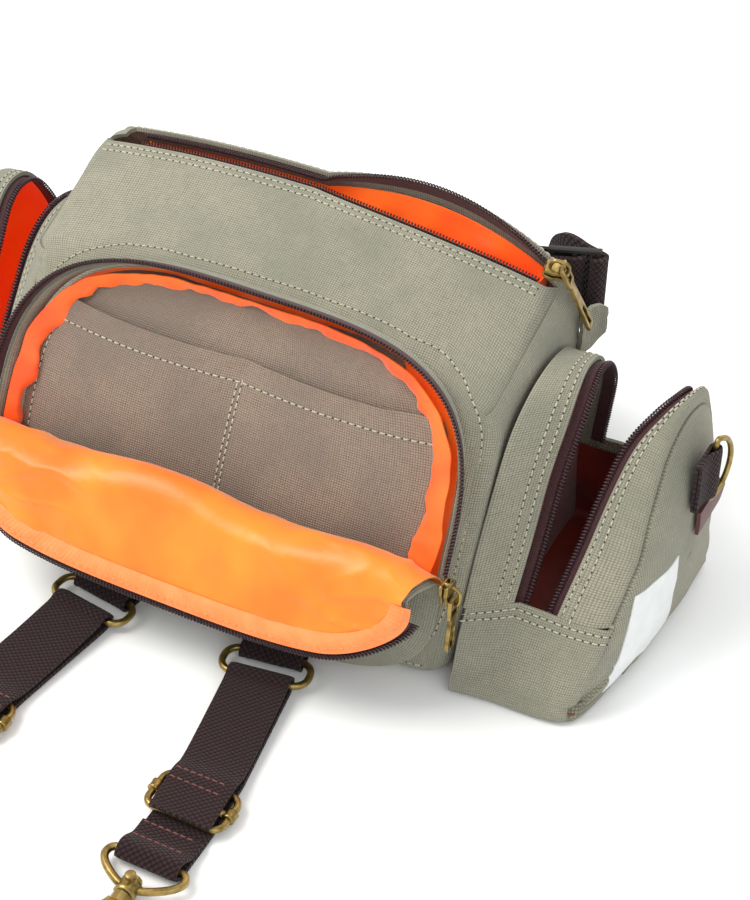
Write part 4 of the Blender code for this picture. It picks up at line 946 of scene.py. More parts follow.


# Side pockets: canvas cups on both sides of the bag.  The band between the bag and the outer face
# is split by a zip that stands open, wider on the right; below it the cup is closed all round.
# Their outer faces are sewn on with a seam that sinks into the cloth, and they are lined in satin, the right
# one's darkened as painted shade.

ARCH_ROWS = (
    # y and z at the zip, y and z beside the bag, x of the inner and of the outer zip
    (-56.0, 0.0, -58.0, 0.0, 125.4, 131.7),
    (-51.0, 14.0, -56.0, 14.0, 125.4, 131.7),
    (-42.0, 27.0, -52.0, 27.0, 125.4, 131.7),
    (-35.5, 34.7, -48.0, 34.7, 125.4, 131.8),
    (-19.0, 56.0, -38.0, 56.0, 125.0, 135.0),
    (-6.0, 75.0, -26.0, 76.0, 124.6, 137.7),
    (7.0, 90.0, -13.0, 93.0, 124.8, 141.0),
    (20.0, 99.0, 4.0, 102.0, 123.9, 146.8),
    (33.0, 101.0, 23.0, 104.0, 122.4, 151.0),
    (45.0, 96.0, 40.0, 99.0, 122.0, 151.5),
    (53.0, 82.0, 51.0, 84.0, 121.7, 147.0),
    (56.0, 62.0, 56.0, 62.0, 119.5, 139.0),
    (56.7, 45.7, 56.7, 45.7, 118.0, 132.0),
    (57.0, 22.0, 57.0, 22.0, 118.0, 132.0),
    (57.0, 0.0, 57.0, 0.0, 118.0, 132.0),
    (20.0, 0.0, 20.0, 0.0, 122.0, 132.0),
    (-20.0, 0.0, -20.0, 0.0, 124.0, 132.0),
)
FRONT_SEAM = 3
BACK_SEAM = 12
BASE_ROWS = (14, 16)
ARCH_CENTRE = (20.0, 36.0)
SIDE_X = 105.2
ZIP_NEAR_X = 121.0
LEFT_OPENING = 0.6
FACE_FRONT_X = 152.0
FACE_BACK_X = 165.5
FACE_CURVE = 0.35
FACE_LEAN = 0.12
FACE_LEAN_Z = 58.0
RIM_SEAM = 1.7


def curve_value(values, place):
    """Smooth curve through a closed list of numbers."""
    i = int(place // 1)
    t = place - i
    return smooth_step(*[values[(i + k) % len(values)] for k in (-1, 0, 1, 2)], t)


def arch(place, column):
    value = curve_value([row[column] for row in ARCH_ROWS], place)
    return max(value, 0.0) if column in (1, 3) else value


def even_arch(first, last):
    """Turns a share of the way along the arch into a place among its rows."""
    places = np.linspace(first, last, 160)
    points = [Vector((arch(p, 0), arch(p, 1))) for p in places]
    ways = np.concatenate(([0.0], np.cumsum([(b - a).length for a, b in zip(points, points[1:])])))
    return lambda share: float(np.interp(share * ways[-1], ways, places))


def side_point(place, x, shrink=1.0):
    share = min(1.0, max(0.0, (x - SIDE_X) / (ZIP_NEAR_X - SIDE_X)))
    y = mix(arch(place, 2), arch(place, 0), share)
    z = mix(arch(place, 3), arch(place, 1), share)
    return Vector((x, mix(ARCH_CENTRE[0], y, shrink), mix(ARCH_CENTRE[1], z, shrink)))


def zip_out_x(place, sign):
    """The left pocket's zip stands less open than the right one's."""
    return mix(arch(place, 4), arch(place, 5), 1.0 if sign > 0 else LEFT_OPENING)


def face_x(y, z):
    """Outer face, which comes forward at the front and leans in towards the top."""
    share = min(1.0, max(0.0, (y + 56.0) / 90.0))
    lean = FACE_LEAN * max(0.0, z - FACE_LEAN_Z)
    return mix(FACE_FRONT_X, FACE_BACK_X, power(share, FACE_CURVE)) - lean


def cup_point(place, ring, sign, start_x=None):
    """Point of the cup: ring 0 is its inner edge, 1 the band, 2 the rim and 4 the face's middle."""
    y, z = arch(place, 0), arch(place, 1)
    band = zip_out_x(place, sign) + TAPE_WIDTH
    inner, middle = [face_x(mix(ARCH_CENTRE[0], y, share), mix(ARCH_CENTRE[1], z, share))
                     for share in (0.55, 0.1)]
    low = BASE_ROWS[0] < place % len(ARCH_ROWS) <= BASE_ROWS[1]
    keep = 0.4 if low else 1.0
    rows = [(band - 0.6 if start_x is None else start_x, 1.0),
            (mix(band, face_x(y, z), 0.65), 1.0 - 0.015 * keep), (face_x(y, z), 1.0 - 0.13 * keep),
            (inner + 3.0, 0.55), (middle + 4.5, 0.1)]
    rows = [rows[0]] + rows + [rows[-1]]
    i = min(int(ring), 3)
    t = ring - i
    pair = [smooth_step(*[rows[i + k][column] for k in range(4)], t) for column in (0, 1)]
    sink = 1.6 * max(0.0, 1.0 - abs(ring - RIM_SEAM) / 0.12)
    return side_point(place, pair[0] - 0.5 * sink, pair[1] - sink / 60.0)


def swollen(point, sign, amount=0.9):
    """Mirrors a point for its side and moves it by the slow swell of the cloth."""
    middle = Vector((118.0, ARCH_CENTRE[0], ARCH_CENTRE[1]))
    out = (point - middle).normalized()
    grow = amount * (lumps(point, 30.0, 4.0 + sign) + 0.5 * lumps(point, 12.0, 8.0 + sign))
    point = point + out * grow * ease(1.0, 8.0, point.z)
    return Vector((point.x * sign, point.y, point.z))


def inner_band(sign):
    way = even_arch(FRONT_SEAM, BACK_SEAM)

    def place(s, t):
        at = way(s)
        x = mix(SIDE_X - 1.2, arch(at, 4) - TAPE_WIDTH + 0.6, t)
        return swollen(side_point(at, x), sign, 0.8 * sin(pi * t))
    return place


def outer_band(sign):
    way = even_arch(FRONT_SEAM, BACK_SEAM)

    def place(s, t):
        at = way(s)
        edge = ease(0.0, 0.2, t)
        return swollen(cup_point(at, RIM_SEAM * t, sign), sign, edge)
    return place


def foot_band(sign):
    """Closed lower part of the band, from the back seam under the base to the front seam."""
    way = even_arch(BACK_SEAM, FRONT_SEAM + len(ARCH_ROWS))

    def place(s, t):
        at = way(s)
        return swollen(cup_point(at, RIM_SEAM * t, sign, SIDE_X), sign, 1.0)
    return place


def foot_lining(sign):
    foot = foot_band(sign)

    def place(s, t):
        point = foot(mix(0.02, 0.98, s), mix(0.03, 0.78, t))
        return point + Vector((0.0, ARCH_CENTRE[0] - point.y, ARCH_CENTRE[1] - point.z)).normalized() * 3.0
    return place


def closed_middle(point, t):
    """Draws the last rows of a round sheet together in its middle, which closes it."""
    return point.lerp(Vector((point.x, *ARCH_CENTRE)), ease(0.94, 1.0, t) * 0.999)


def outer_face(sign):
    def place(s, t):
        point = cup_point(s * len(ARCH_ROWS), mix(RIM_SEAM, 4.0, min(1.0, t / 0.94)), sign)
        return swollen(closed_middle(point, t), sign, 1.3)
    return place


def cup_lining(sign):
    def place(s, t):
        at = s * len(ARCH_ROWS)
        ring = mix(0.05, 4.0, min(1.0, t / 0.94))
        point = closed_middle(cup_point(at, ring, sign), t)
        point.x -= 2.6 * min(1.0, ring)
        point.y = mix(ARCH_CENTRE[0], point.y, 0.955)
        point.z = max(1.6, mix(ARCH_CENTRE[1], point.z, 0.955))
        return swollen(point, sign, 1.0)
    return place


def side_sheet(sign):
    """Satin on the bag's side, seen through the open zip."""
    def place(s, t):
        point = side_point(s * len(ARCH_ROWS), SIDE_X + 1.0, mix(0.93, 0.05, t))
        point.x += 0.7 + 0.7 * lumps(point, 14.0)
        point = closed_middle(point, t)
        return Vector((point.x * sign, point.y, point.z))
    return place


def thickness_side(sheet, inside):
    """Offset that puts a sheet's thickness on the side of a point within the piece."""
    lean = sum(p.area * p.normal.dot(p.center - Vector(inside) * MM) for p in sheet.data.polygons)
    return -1.0 if lean > 0.0 else 1.0


def flat_weave(sheet):
    """Lays the UV map of a face flat on its Y and Z, so that its weave runs straight."""
    uv = sheet.data.uv_layers.active.data
    for polygon in sheet.data.polygons:
        for index in polygon.loop_indices:
            co = sheet.data.vertices[sheet.data.loops[index].vertex_index].co
            uv[index].uv = (co.y / MM, co.z / MM)


def side_zip(sign, towards):
    """Path of one half: towards is 1 for the inner half and -1 for the outer one."""
    way = even_arch(FRONT_SEAM, BACK_SEAM)
    path, across, up = [], [], []
    for i in range(101):
        at = way(i / 100)
        x = arch(at, 4) if towards > 0 else zip_out_x(at, sign)
        before, after = way(max(i - 1, 0) / 100), way(min(i + 1, 100) / 100)
        outward = Vector((0, arch(before, 1) - arch(after, 1), arch(after, 0) - arch(before, 0)))
        outward.normalize()
        place = Vector((sign * (x - towards * TAPE_WIDTH / 2), arch(at, 0), arch(at, 1)))
        path.append(place - outward * 2.3)
        across.append(Vector((sign * towards, 0, 0)))
        up.append(outward)
    return path, across, up


# Darker copy of the orange satin for the right pocket's linings: painted shade, no glow.
painted_shade_satin = satin_lining("orange_satin_in_shade", "#5A1206", "#8E2408", "#000000")
side_surfaces = {}
for side, sign in (("right", 1), ("left", -1)):
    inside = (sign * 130.0, ARCH_CENTRE[0], ARCH_CENTRE[1])
    side_surfaces[side] = (inner_band(sign), outer_band(sign), foot_band(sign))
    bands = [cloth_sheet("side_band_inner_" + side, side_surfaces[side][0], 110, 16),
             cloth_sheet("side_band_outer_" + side, side_surfaces[side][1], 110, 26),
             cloth_sheet("side_foot_" + side, side_surfaces[side][2], 110, 26),
             cloth_sheet("side_face_" + side, outer_face(sign), 120, 34)]
    flat_weave(bands[3])
    for band in bands:
        finish_cloth(band, canvas, CANVAS_THICK, thickness_side(band, inside))
        dress(band, "cotton_canvas")
    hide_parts("side_pocket_inner_" + side)
    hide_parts("side_pocket_outer_" + side)
    linings = [cloth_sheet("side_lining_" + side, side_sheet(sign), 70, 16),
               cloth_sheet("side_cup_lining_" + side, cup_lining(sign), 90, 20),
               cloth_sheet("side_foot_lining_" + side, foot_lining(sign), 70, 14)]
    for sheet in linings:
        # The left linings take the orange satin, the right ones the copy in painted shade.
        finish_cloth(sheet, orange if side == "left" else painted_shade_satin, 0.5, 0.0)
        dress(sheet, "satin_lining")
    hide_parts("side_pocket_lining_" + side)
    add_zip("side_zip_inner_" + side, *side_zip(sign, 1))
    add_zip("side_zip_outer_" + side, *side_zip(sign, -1))


# Label: a white woven patch with nothing on it, sewn low on the right pocket's outer face.

def woven_patch():
    """Fine satin-woven label cloth: off-white, close threads, a soft sheen."""
    material = new_material("white_woven_label")
    cloth = add_node(material, "UVMap")
    crown, _parity = woven(material, 0.45, cloth)
    soil = add_node(material, "TexNoise", {"Vector": cloth, "Scale": 0.15, "Detail": 3.0})
    dyed = add_node(material, "Mix", {"Factor": soil, "A": linear("#E9E9E6"), "B": linear("#D2D6D6")},
        data_type="RGBA")
    bump = add_node(material, "Bump", {"Height": crown, "Strength": 0.3, "Distance": 0.15 * MM})
    set_shader(material, {"Base Color": dyed, "Roughness": 0.75, "Normal": bump})
    return material


def surface_tree(cloth):
    """Search tree of a finished cloth's surface, in millimetres."""
    return BVHTree.FromPolygons([v.co / MM for v in cloth.data.vertices],
                                [tuple(p.vertices) for p in cloth.data.polygons])


face_tree = surface_tree(bpy.data.objects["side_face_right"])


def label_place(s, t):
    """Pressed along X on to the outer face; its front edge follows the seam."""
    y, z = mix(-36.0 + 16.0 * t, 9.0, s), mix(4.5 + 3.0 * s, 43.0, t)
    hit = face_tree.ray_cast(Vector((190.0, y, z)), Vector((-1.0, 0.0, 0.0)))[0]
    if hit is None or hit.x < 148.0:
        hit = face_tree.find_nearest(Vector((156.0, y, z)))[0]
    return hit + Vector((0.5, 0.0, 0.0))


label = cloth_sheet("blank_label", label_place, 36, 36)
finish_cloth(label, woven_patch(), 0.5, thickness_side(label, (130.0, 20.0, 36.0)))
dress(label, "woven_label", "side_label")


# Bottom straps: 25 mm cotton webbing.  A short tab under the pocket holds a ring; the strap goes
# through the ring, doubles back over itself to a brass tri-glide, and ends round a swivel hook's eye.

WEBBING = 25.0
STRAP_LINE = (
    # y, x of the strap's middle, how far it leans per millimetre
    (-165.0, 49.3, 0.0),
    (-140.0, 47.4, 0.15),
    (-87.5, 39.5, 0.15),
    (-60.0, 35.4, 0.15),
)
TAB_ROWS = ((-61.5, 3.0), (-70.0, 3.0), (-74.0, 4.6), (-76.4, 6.7), (-78.9, 6.7), (-80.8, 4.2),
            (-78.6, 1.5), (-75.0, 0.95), (-61.5, 0.9))
STRAP_ROWS = ((-167.0, 7.0), (-156.0, 7.1), (-146.0, 6.9), (-134.0, 4.4), (-99.0, 5.6), (-93.0, 7.2),
              (-90.0, 7.25), (-87.1, 4.4), (-90.0, 1.3), (-96.0, 1.0), (-150.0, 1.0), (-182.0, 1.0),
              (-187.0, 1.3), (-190.3, 4.4), (-187.0, 7.6), (-183.0, 6.6), (-178.0, 3.6), (-171.0, 3.3))


def open_curve(points, count):
    """Points evenly spaced by length on a smooth curve through the given ones."""
    pts = [Vector(p) for p in points]
    ends = [pts[0] * 2 - pts[1]] + pts + [pts[-1] * 2 - pts[-2]]
    fine = []
    for step in range(400):
        place = step / 399 * (len(pts) - 1)
        i = min(int(place), len(pts) - 2)
        t = place - i
        fine.append(smooth_step(*ends[i:i + 4], t))
    total = sum((b - a).length for a, b in zip(fine, fine[1:]))
    return [sampled(fine, place) for place in even_steps(fine, total / count)]


def strap_across(y, sign):
    return Vector((1.0, sign * between(STRAP_LINE, 2, y), 0.0)).normalized()


def band_surface(path, across, width, curl=0.25):
    """Flat band along a path; its two edges are beaten down a little by the weaving."""
    def place(s, t):
        i = round(t * (len(path) - 1))
        ahead = (path[min(i + 1, len(path) - 1)] - path[max(i - 1, 0)]).normalized()
        side = across(path[i])
        side = (side - ahead * side.dot(ahead)).normalized()
        up = side.cross(ahead)
        edge = ease(0.42, 0.5, abs(s - 0.5))
        return path[i] + side * width * (s - 0.5) - up * curl * edge + up * 0.12 * lumps(path[i], 9.0)
    return place


def basket_webbing(name, dark, light, spacing=1.9):
    """Coarse cotton webbing: plump yarns in a basket weave that reads as slanting rows of beads, their
    crowns painted lighter as a painted highlight.
    """
    material = new_material(name)
    cloth = add_node(material, "UVMap")
    slant = add_node(material, "Mapping", {"Vector": cloth, "Scale": (1.0, 1.35, 1.0),
        "Rotation": (0.0, 0.0, radians(38.0))})
    crown, _parity = woven(material, spacing, slant)
    plump = add_node(material, "Math", {0: crown, 1: 0.6}, operation="POWER")
    fuzz = add_node(material, "TexNoise", {"Vector": cloth, "Scale": 1.6, "Detail": 4.0})
    # Yarn crowns painted lighter: painted highlight over the random fuzz.
    shade = add_node(material, "Math", {0: fuzz, 1: 0.5, 2: plump}, operation="MULTIPLY_ADD")
    spread = add_node(material, "MapRange", {"Value": shade, "From Min": 0.35, "From Max": 1.3})
    dyed = add_node(material, "Mix", {"Factor": spread, "A": linear(dark), "B": linear(light)},
        data_type="RGBA")
    bump = add_node(material, "Bump", {"Height": plump, "Strength": 0.9, "Distance": 0.7 * MM})
    set_shader(material, {"Base Color": dyed, "Roughness": 0.9, "Normal": bump, "Sheen Weight": 0.08,
        "Specular IOR Level": 0.2})
    return material


webbing_cloth = basket_webbing("brown_cotton_webbing", "#100809", "#3C2526")


def add_band(name, node, surface, across_steps, along_steps, thick):
    band = cloth_sheet(name, surface, across_steps, along_steps)
    finish_cloth(band, webbing_cloth, thick, 0.0)
    dress(band, "cotton_webbing", node)
    return band


for side, sign in (("right", 1), ("left", -1)):
    for part, rows, count, thick in (("tab", TAB_ROWS, 60, 1.3), ("webbing", STRAP_ROWS, 260, 1.5)):
        curve = open_curve([(0, y, z) for y, z in rows], count)
        path = [Vector((sign * between(STRAP_LINE, 1, p.y), p.y, p.z)) for p in curve]
        surface = band_surface(path, lambda p, sign=sign: strap_across(p.y, sign), WEBBING)
        add_band("strap_" + part + "_cloth_" + side, "strap_" + part + "_" + side, surface, 14,
                 len(path) - 1, thick)


# Metal fittings of antique brass: zinc castings and wire, plated, darkened and rubbed bright along
# the edges.  Rings and tri-glides are bent from round wire, with collars where the ends meet.

def antique_brass(name, bright, dark):
    """Plated brass, darkened by a patina that is rubbed off on the high places."""
    material = new_material(name)
    place = add_node(material, "TexCoord").outputs["Object"]
    worn = add_node(material, "NewGeometry")
    cloud = add_node(material, "TexNoise", {"Vector": place, "Scale": 260.0, "Detail": 5.0})
    rub = add_node(material, "Math", {0: worn.outputs["Pointiness"], 1: 1.6, 2: cloud},
        operation="MULTIPLY_ADD")
    spread = add_node(material, "MapRange", {"Value": rub, "From Min": 1.05, "From Max": 1.5})
    tone = add_node(material, "Mix", {"Factor": spread, "A": linear(dark), "B": linear(bright)},
        data_type="RGBA")
    scratch = add_node(material, "TexNoise", {"Vector": place, "Scale": 900.0, "Detail": 2.0})
    rough = add_node(material, "MapRange", {"Value": scratch, "To Min": 0.24, "To Max": 0.48})
    bump = add_node(material, "Bump", {"Height": cloud, "Strength": 0.12, "Distance": 0.2 * MM})
    set_shader(material, {"Base Color": tone, "Metallic": 1.0, "Roughness": rough, "Normal": bump})
    return material


brass = antique_brass("antique_brass", "#A88F55", "#4A3C1E")
RING_HALF_WIDTH = 17.5
RING_HALF_DEPTH = 6.5
RING_MIDDLE_Y = -84.0
GLIDE_HALF_WIDTH = 17.0
GLIDE_Y = -156.0
BAR_Z = 4.2
COLLAR_SIDES = 14


def rounded_loop(half_width, half_depth, corner, steps=8):
    """Rounded rectangle in its own plane, as pairs of numbers."""
    points = []
    for quarter in range(4):
        cx = (half_width - corner) * (1 if quarter in (0, 3) else -1)
        cy = (half_depth - corner) * (1 if quarter in (0, 1) else -1)
        for k in range(steps + 1):
            turn = (quarter + k / steps) * pi / 2
            points.append((cx + corner * cos(turn), cy + corner * sin(turn)))
    return points


def bent_wire(name, points, normal, diameter, sides=10, closed=True):
    """Round wire along points that lie about square to a normal."""
    frames = []
    count = len(points)
    for i in range(count):
        after = points[(i + 1) % count] if closed else points[min(i + 1, count - 1)]
        ahead = (after - points[i - 1 if closed else max(i - 1, 0)]).normalized()
        frames.append((Vector(normal), ahead.cross(Vector(normal)).normalized()))
    return tube(name, points, frames, diameter / 2, sides, brass, closed)


def collar(name, centre, along, normal, diameter, length):
    """Short sleeve with rolled ends, closed over the wire."""
    along = Vector(along).normalized()
    side = along.cross(Vector(normal)).normalized()
    rings = ((-0.5, 0.8), (-0.42, 1.0), (-0.2, 0.93), (0.2, 0.93), (0.42, 1.0), (0.5, 0.8))
    turns = [2 * pi * k / COLLAR_SIDES for k in range(COLLAR_SIDES)]
    ways = [Vector(normal) * cos(turn) + side * sin(turn) for turn in turns]
    verts = [Vector(centre) + along * length * at + way * diameter / 2 * wide
             for at, wide in rings for way in ways]
    faces = []
    for low in range(0, (len(rings) - 1) * COLLAR_SIDES, COLLAR_SIDES):
        for k in range(COLLAR_SIDES):
            after = (k + 1) % COLLAR_SIDES
            faces.append((low + k, low + after, low + COLLAR_SIDES + after, low + COLLAR_SIDES + k))
    last = (len(rings) - 1) * COLLAR_SIDES
    faces += [tuple(reversed(range(COLLAR_SIDES))), tuple(range(last, last + COLLAR_SIDES))]
    return one_mesh(name, verts, faces, brass)


def joined(name, objects):
    bpy.ops.object.select_all(action="DESELECT")
    for obj in objects:
        obj.select_set(True)
    bpy.context.view_layer.objects.active = objects[0]
    bpy.ops.object.join()
    objects[0].name = name
    return objects[0]


def fit_metal(obj, node):
    dress(obj, "antique_brass", node)


for side, sign in (("right", 1), ("left", -1)):
    centre = Vector((sign * between(STRAP_LINE, 1, RING_MIDDLE_Y), RING_MIDDLE_Y, BAR_Z))
    across = strap_across(RING_MIDDLE_Y, sign)
    along = Vector((-across.y, across.x, 0.0))
    outline = [centre + across * a + along * b
               for a, b in rounded_loop(RING_HALF_WIDTH, RING_HALF_DEPTH, 5.6)]
    fit_metal(bent_wire("ring_wire_" + side, outline, (0, 0, 1), 2.9), "strap_ring_" + side)
    middle = Vector((sign * between(STRAP_LINE, 1, GLIDE_Y), GLIDE_Y, BAR_Z))
    frame_wire = [middle + Vector((a, b, 0)) for a, b in rounded_loop(GLIDE_HALF_WIDTH - 1.4, 8.6, 4.2)]
    glide = [bent_wire("glide_wire_" + side, frame_wire, (0, 0, 1), 2.9),
             bent_wire("glide_bar_" + side, [middle + Vector((a, 0, 0)) for a in (-15.4, -6.0, 6.0, 15.4)],
                       (0, 0, 1), 2.7, 10, False)]
    for end in (-1, 1):
        place = middle + Vector((end * 15.6, 0, 0))
        glide.append(collar("glide_collar_" + side, place, (0, 1, 0), (0, 0, 1), 5.0, 4.4))
    fit_metal(joined("tri_glide_" + side, glide), "strap_triglide_" + side)


# Swivel hooks: an eye of wire with a boss, and a cast snap body that turns in it, with a sprung
# gate.  Their shapes come from the frame; the eye is drawn anew, smoother.

HOOK_Z = 4.6
EYE_Y = -187.0
EYE_OUTLINE = ((14.0, 0.0), (15.6, -1.6), (15.8, -4.6), (13.6, -7.8), (9.0, -11.2), (4.0, -13.6),
               (0.0, -14.2), (-4.0, -13.6), (-9.0, -11.2), (-13.6, -7.8), (-15.8, -4.6),
               (-15.6, -1.6), (-14.0, 0.0))
for side, sign in (("right", 1), ("left", -1)):
    x = sign * 49.3
    bend = open_curve([(x + a, EYE_Y + b, HOOK_Z - 0.2) for a, b in EYE_OUTLINE], 60)
    bar = open_curve([(x + a, EYE_Y, HOOK_Z - 0.2) for a in (-12.0, 0.0, 12.0)], 10)
    eye = [bent_wire("eye_wire_" + side, bend + bar, (0, 0, 1), 3.1),
           collar("eye_boss_" + side, (x, EYE_Y - 14.75, HOOK_Z), (0, 1, 0), (0, 0, 1), 8.6, 6.6),
           collar("eye_rivet_" + side, (x, EYE_Y - 12.6, HOOK_Z + 4.6), (0, 0, 1), (0, 1, 0), 4.2, 2.6)]
    fit_metal(joined("hook_eye_wire_" + side, eye), "hook_eye_" + side)


# Right pocket: a webbing loop sewn on the outer face holds a D-ring of round wire, and a short
# leather tab with a round end is sewn on below it.

LOOP_Z = 73.0
LOOP_X = 168.8
LOOP_WIDTH = 23.0
D_BAR = (LOOP_X + 2.2, 27.6)
LOOP_ROWS = ((LOOP_X, 14.0), (LOOP_X, 21.0), (LOOP_X, 27.6), (LOOP_X + 0.65, 29.15), (LOOP_X + 2.2, 29.8),
             (LOOP_X + 3.75, 29.15), (LOOP_X + 4.4, 27.6), (LOOP_X + 3.9, 25.6), (LOOP_X + 2.1, 22.5),
             (LOOP_X + 1.6, 19.0), (LOOP_X + 1.6, 14.0))
D_OUTLINE = ((0.0, -12.6), (0.6, -14.2), (2.4, -14.4), (7.0, -11.6), (10.2, -6.4), (11.4, 0.0),
             (10.2, 6.4), (7.0, 11.6), (2.4, 14.4), (0.6, 14.2), (0.0, 12.6))
D_LEAN = radians(75.0)
TAB_X = 170.2
TAB_START_Y = 20.0
TAB_ROUND_Y = 41.5
TAB_Z = 51.4
TAB_RADIUS = 5.5

loop_path = open_curve([(x, y, LOOP_Z) for x, y in LOOP_ROWS], 50)
add_band("ring_loop_cloth", "side_ring_loop",
         band_surface(loop_path, lambda p: Vector((0.0, 0.0, 1.0)), LOOP_WIDTH), 12, len(loop_path) - 1, 1.2)
d_points = open_curve([(D_BAR[0] + out * cos(D_LEAN), D_BAR[1] + out * sin(D_LEAN), LOOP_Z + rise)
                       for out, rise in D_OUTLINE], 60)
fit_metal(bent_wire("d_ring_wire", d_points, (-sin(D_LEAN), cos(D_LEAN), 0.0), 2.3), "side_ring")


def brown_leather():
    """Smooth finished cowhide: fine pebbled grain, a little gloss."""
    material = new_material("brown_leather")
    place = add_node(material, "TexCoord").outputs["Object"]
    grain = add_node(material, "TexVoronoi", {"Vector": place, "Scale": 1400.0})
    cloud = add_node(material, "TexNoise", {"Vector": place, "Scale": 150.0, "Detail": 3.0})
    dyed = add_node(material, "Mix", {"Factor": cloud, "A": linear("#3E1E1E"), "B": linear("#6B3A38")},
        data_type="RGBA")
    bump = add_node(material, "Bump", {"Height": grain, "Strength": 0.3, "Distance": 0.2 * MM})
    set_shader(material, {"Base Color": dyed, "Roughness": 0.5, "Normal": bump})
    return material


def tab_surface(s, t):
    """Round-ended strip that stands along Y, with its width up and down."""
    y = mix(TAB_START_Y, TAB_ROUND_Y + TAB_RADIUS - 0.02, 1.0 - (1.0 - s) ** 1.6)
    half_width = (max(0.0, TAB_RADIUS ** 2 - max(0.0, y - TAB_ROUND_Y) ** 2)) ** 0.5
    return Vector((TAB_X + 0.25 * sin(pi * t), y, TAB_Z + half_width * mix(-1.0, 1.0, t)))


tab = finish_cloth(cloth_sheet("leather_tab", tab_surface, 26, 8), brown_leather(), 1.6, 0.0)
dress(tab, "brown_leather", "side_leather_tab")


# Belt: a webbing band sewn across the back and through a moulded adjuster at each end, and straps
# that go down from the adjusters behind the bag to a side-release buckle.

BELT = 32.0
BELT_Z = 105.5
BELT_THICK = 2.0
ADJUSTER_CENTRE = (93.0, 67.6)
ADJUSTER_TURN = radians(21.7)
LEFT_BELT_DROP = 20.0
BAND_ROWS = (
    # along the adjuster, away from the bag
    (-10.5, -2.7), (-3.0, -2.8), (0.8, -2.8), (3.4, 0.0), (0.8, 2.8), (-3.0, 2.8), (-10.0, 2.8),
    (-18.0, 3.2),
)
BAND_MIDDLE = (
    # x, y, share of the left end's drop
    (-76.0, 61.6, 0.85), (-30.0, 61.3, 0.3), (30.0, 60.9, 0.0), (76.0, 60.9, 0.0),
)
STRAP_START = (
    # along the adjuster, away from the bag, drop
    (6.0, -3.0, 0.0), (9.4, -3.0, 0.0), (12.3, 0.0, 0.0), (9.4, 3.0, 0.0), (5.0, 6.4, 0.0),
    (0.5, 11.5, 0.8), (-3.0, 17.5, 8.0),
)
STRAP_WAY = (
    # x, y and z of the belt's middle on its way down behind the bag
    (80.0, 87.0, 82.0), (75.0, 94.5, 64.0), (68.0, 103.0, 45.0), (60.0, 114.0, 28.0),
    (50.0, 122.5, 20.5), (40.0, 125.6, 19.8), (30.0, 125.6, 19.8), (25.0, 125.6, 19.8),
    (22.2, 121.0, 19.8), (25.0, 116.4, 19.8), (30.0, 116.4, 19.8), (37.0, 118.6, 19.8),
)


def belt_drop(sign, z=BELT_Z):
    """The left belt end hangs lower than the right one, behind the bag."""
    return LEFT_BELT_DROP * min(1.0, max(0.0, (z - 20.0) / (BELT_Z - 20.0))) if sign < 0 else 0.0


def adjuster_point(along, away, z=BELT_Z):
    c, s = cos(ADJUSTER_TURN), sin(ADJUSTER_TURN)
    return Vector((ADJUSTER_CENTRE[0] + along * c - away * s, ADJUSTER_CENTRE[1] + along * s + away * c, z))


def upright(_point):
    return Vector((0.0, 0.0, 1.0))


band_right = [adjuster_point(a, n) for a, n in BAND_ROWS]
band_left = [Vector((-p.x, p.y, p.z - belt_drop(-1))) for p in reversed(band_right)]
band_middle = [(x, y, BELT_Z - belt_drop(-1) * share) for x, y, share in BAND_MIDDLE]
band_path = open_curve(band_left + band_middle + band_right, 240)
add_band("belt_band_cloth", "belt_band", band_surface(band_path, upright, BELT, 0.1), 14,
         len(band_path) - 1, BELT_THICK)
for side, sign in (("right", 1), ("left", -1)):
    strap_points = [adjuster_point(a, n, BELT_Z - drop) for a, n, drop in STRAP_START] + list(STRAP_WAY)
    strap_path = open_curve([(sign * p[0], p[1], p[2] - belt_drop(sign, p[2])) for p in strap_points], 170)
    add_band("belt_strap_cloth_" + side, "belt_strap_" + side,
             band_surface(strap_path, upright, BELT, 0.1), 14, len(strap_path) - 1, BELT_THICK)


def moulded_plastic():
    """Black acetal as moulded: satin, faintly mottled."""
    material = new_material("black_moulded_plastic")
    place = add_node(material, "TexCoord").outputs["Object"]
    mottle = add_node(material, "TexNoise", {"Vector": place, "Scale": 500.0, "Detail": 3.0})
    rough = add_node(material, "MapRange", {"Value": mottle, "To Min": 0.34, "To Max": 0.5})
    bump = add_node(material, "Bump", {"Height": mottle, "Strength": 0.08, "Distance": 0.1 * MM})
    set_shader(material, {"Base Color": linear("#24211E"), "Roughness": rough, "Normal": bump})
    return material


def keep_solid(node, material, edge=0.35):
    """Keeps a hard piece as the frame has it, with softly rounded edges and its finish."""
    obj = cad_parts[node]
    obj.data.materials.clear()
    obj.data.materials.append(material)
    if edge:
        soft = obj.modifiers.new("soft_edge", "BEVEL")
        soft.width = edge * MM
        soft.segments = 2
        soft.limit_method = "ANGLE"
        soft.angle_limit = radians(35.0)
        soft.harden_normals = True
    obj.data.shade_smooth()


plastic = moulded_plastic()
for node in ("belt_adjuster_right", "belt_adjuster_left", "belt_buckle_socket", "belt_buckle_plug"):
    keep_solid(node, plastic)


# Canvas wings at the bag's back corners, folded round the ends of the belt.

WING_ROWS = (
    # x, y, lowest z, highest z
    (104.6, 50.5, 88.0, 107.0),
    (106.0, 57.0, 88.0, 108.0),
    (107.5, 61.5, 89.5, 106.5),
    (109.5, 64.5, 92.0, 104.0),
)


def wing_surface(sign):
    def place(s, t):
        row = min(int(s * 3), 2)
        x, y, low, high = [mix(a, b, s * 3 - row) for a, b in zip(WING_ROWS[row], WING_ROWS[row + 1])]
        return Vector((sign * (x + 0.4 * lumps((x, y, 40 * t), 6.0)), y, mix(low, high, t)))
    return place


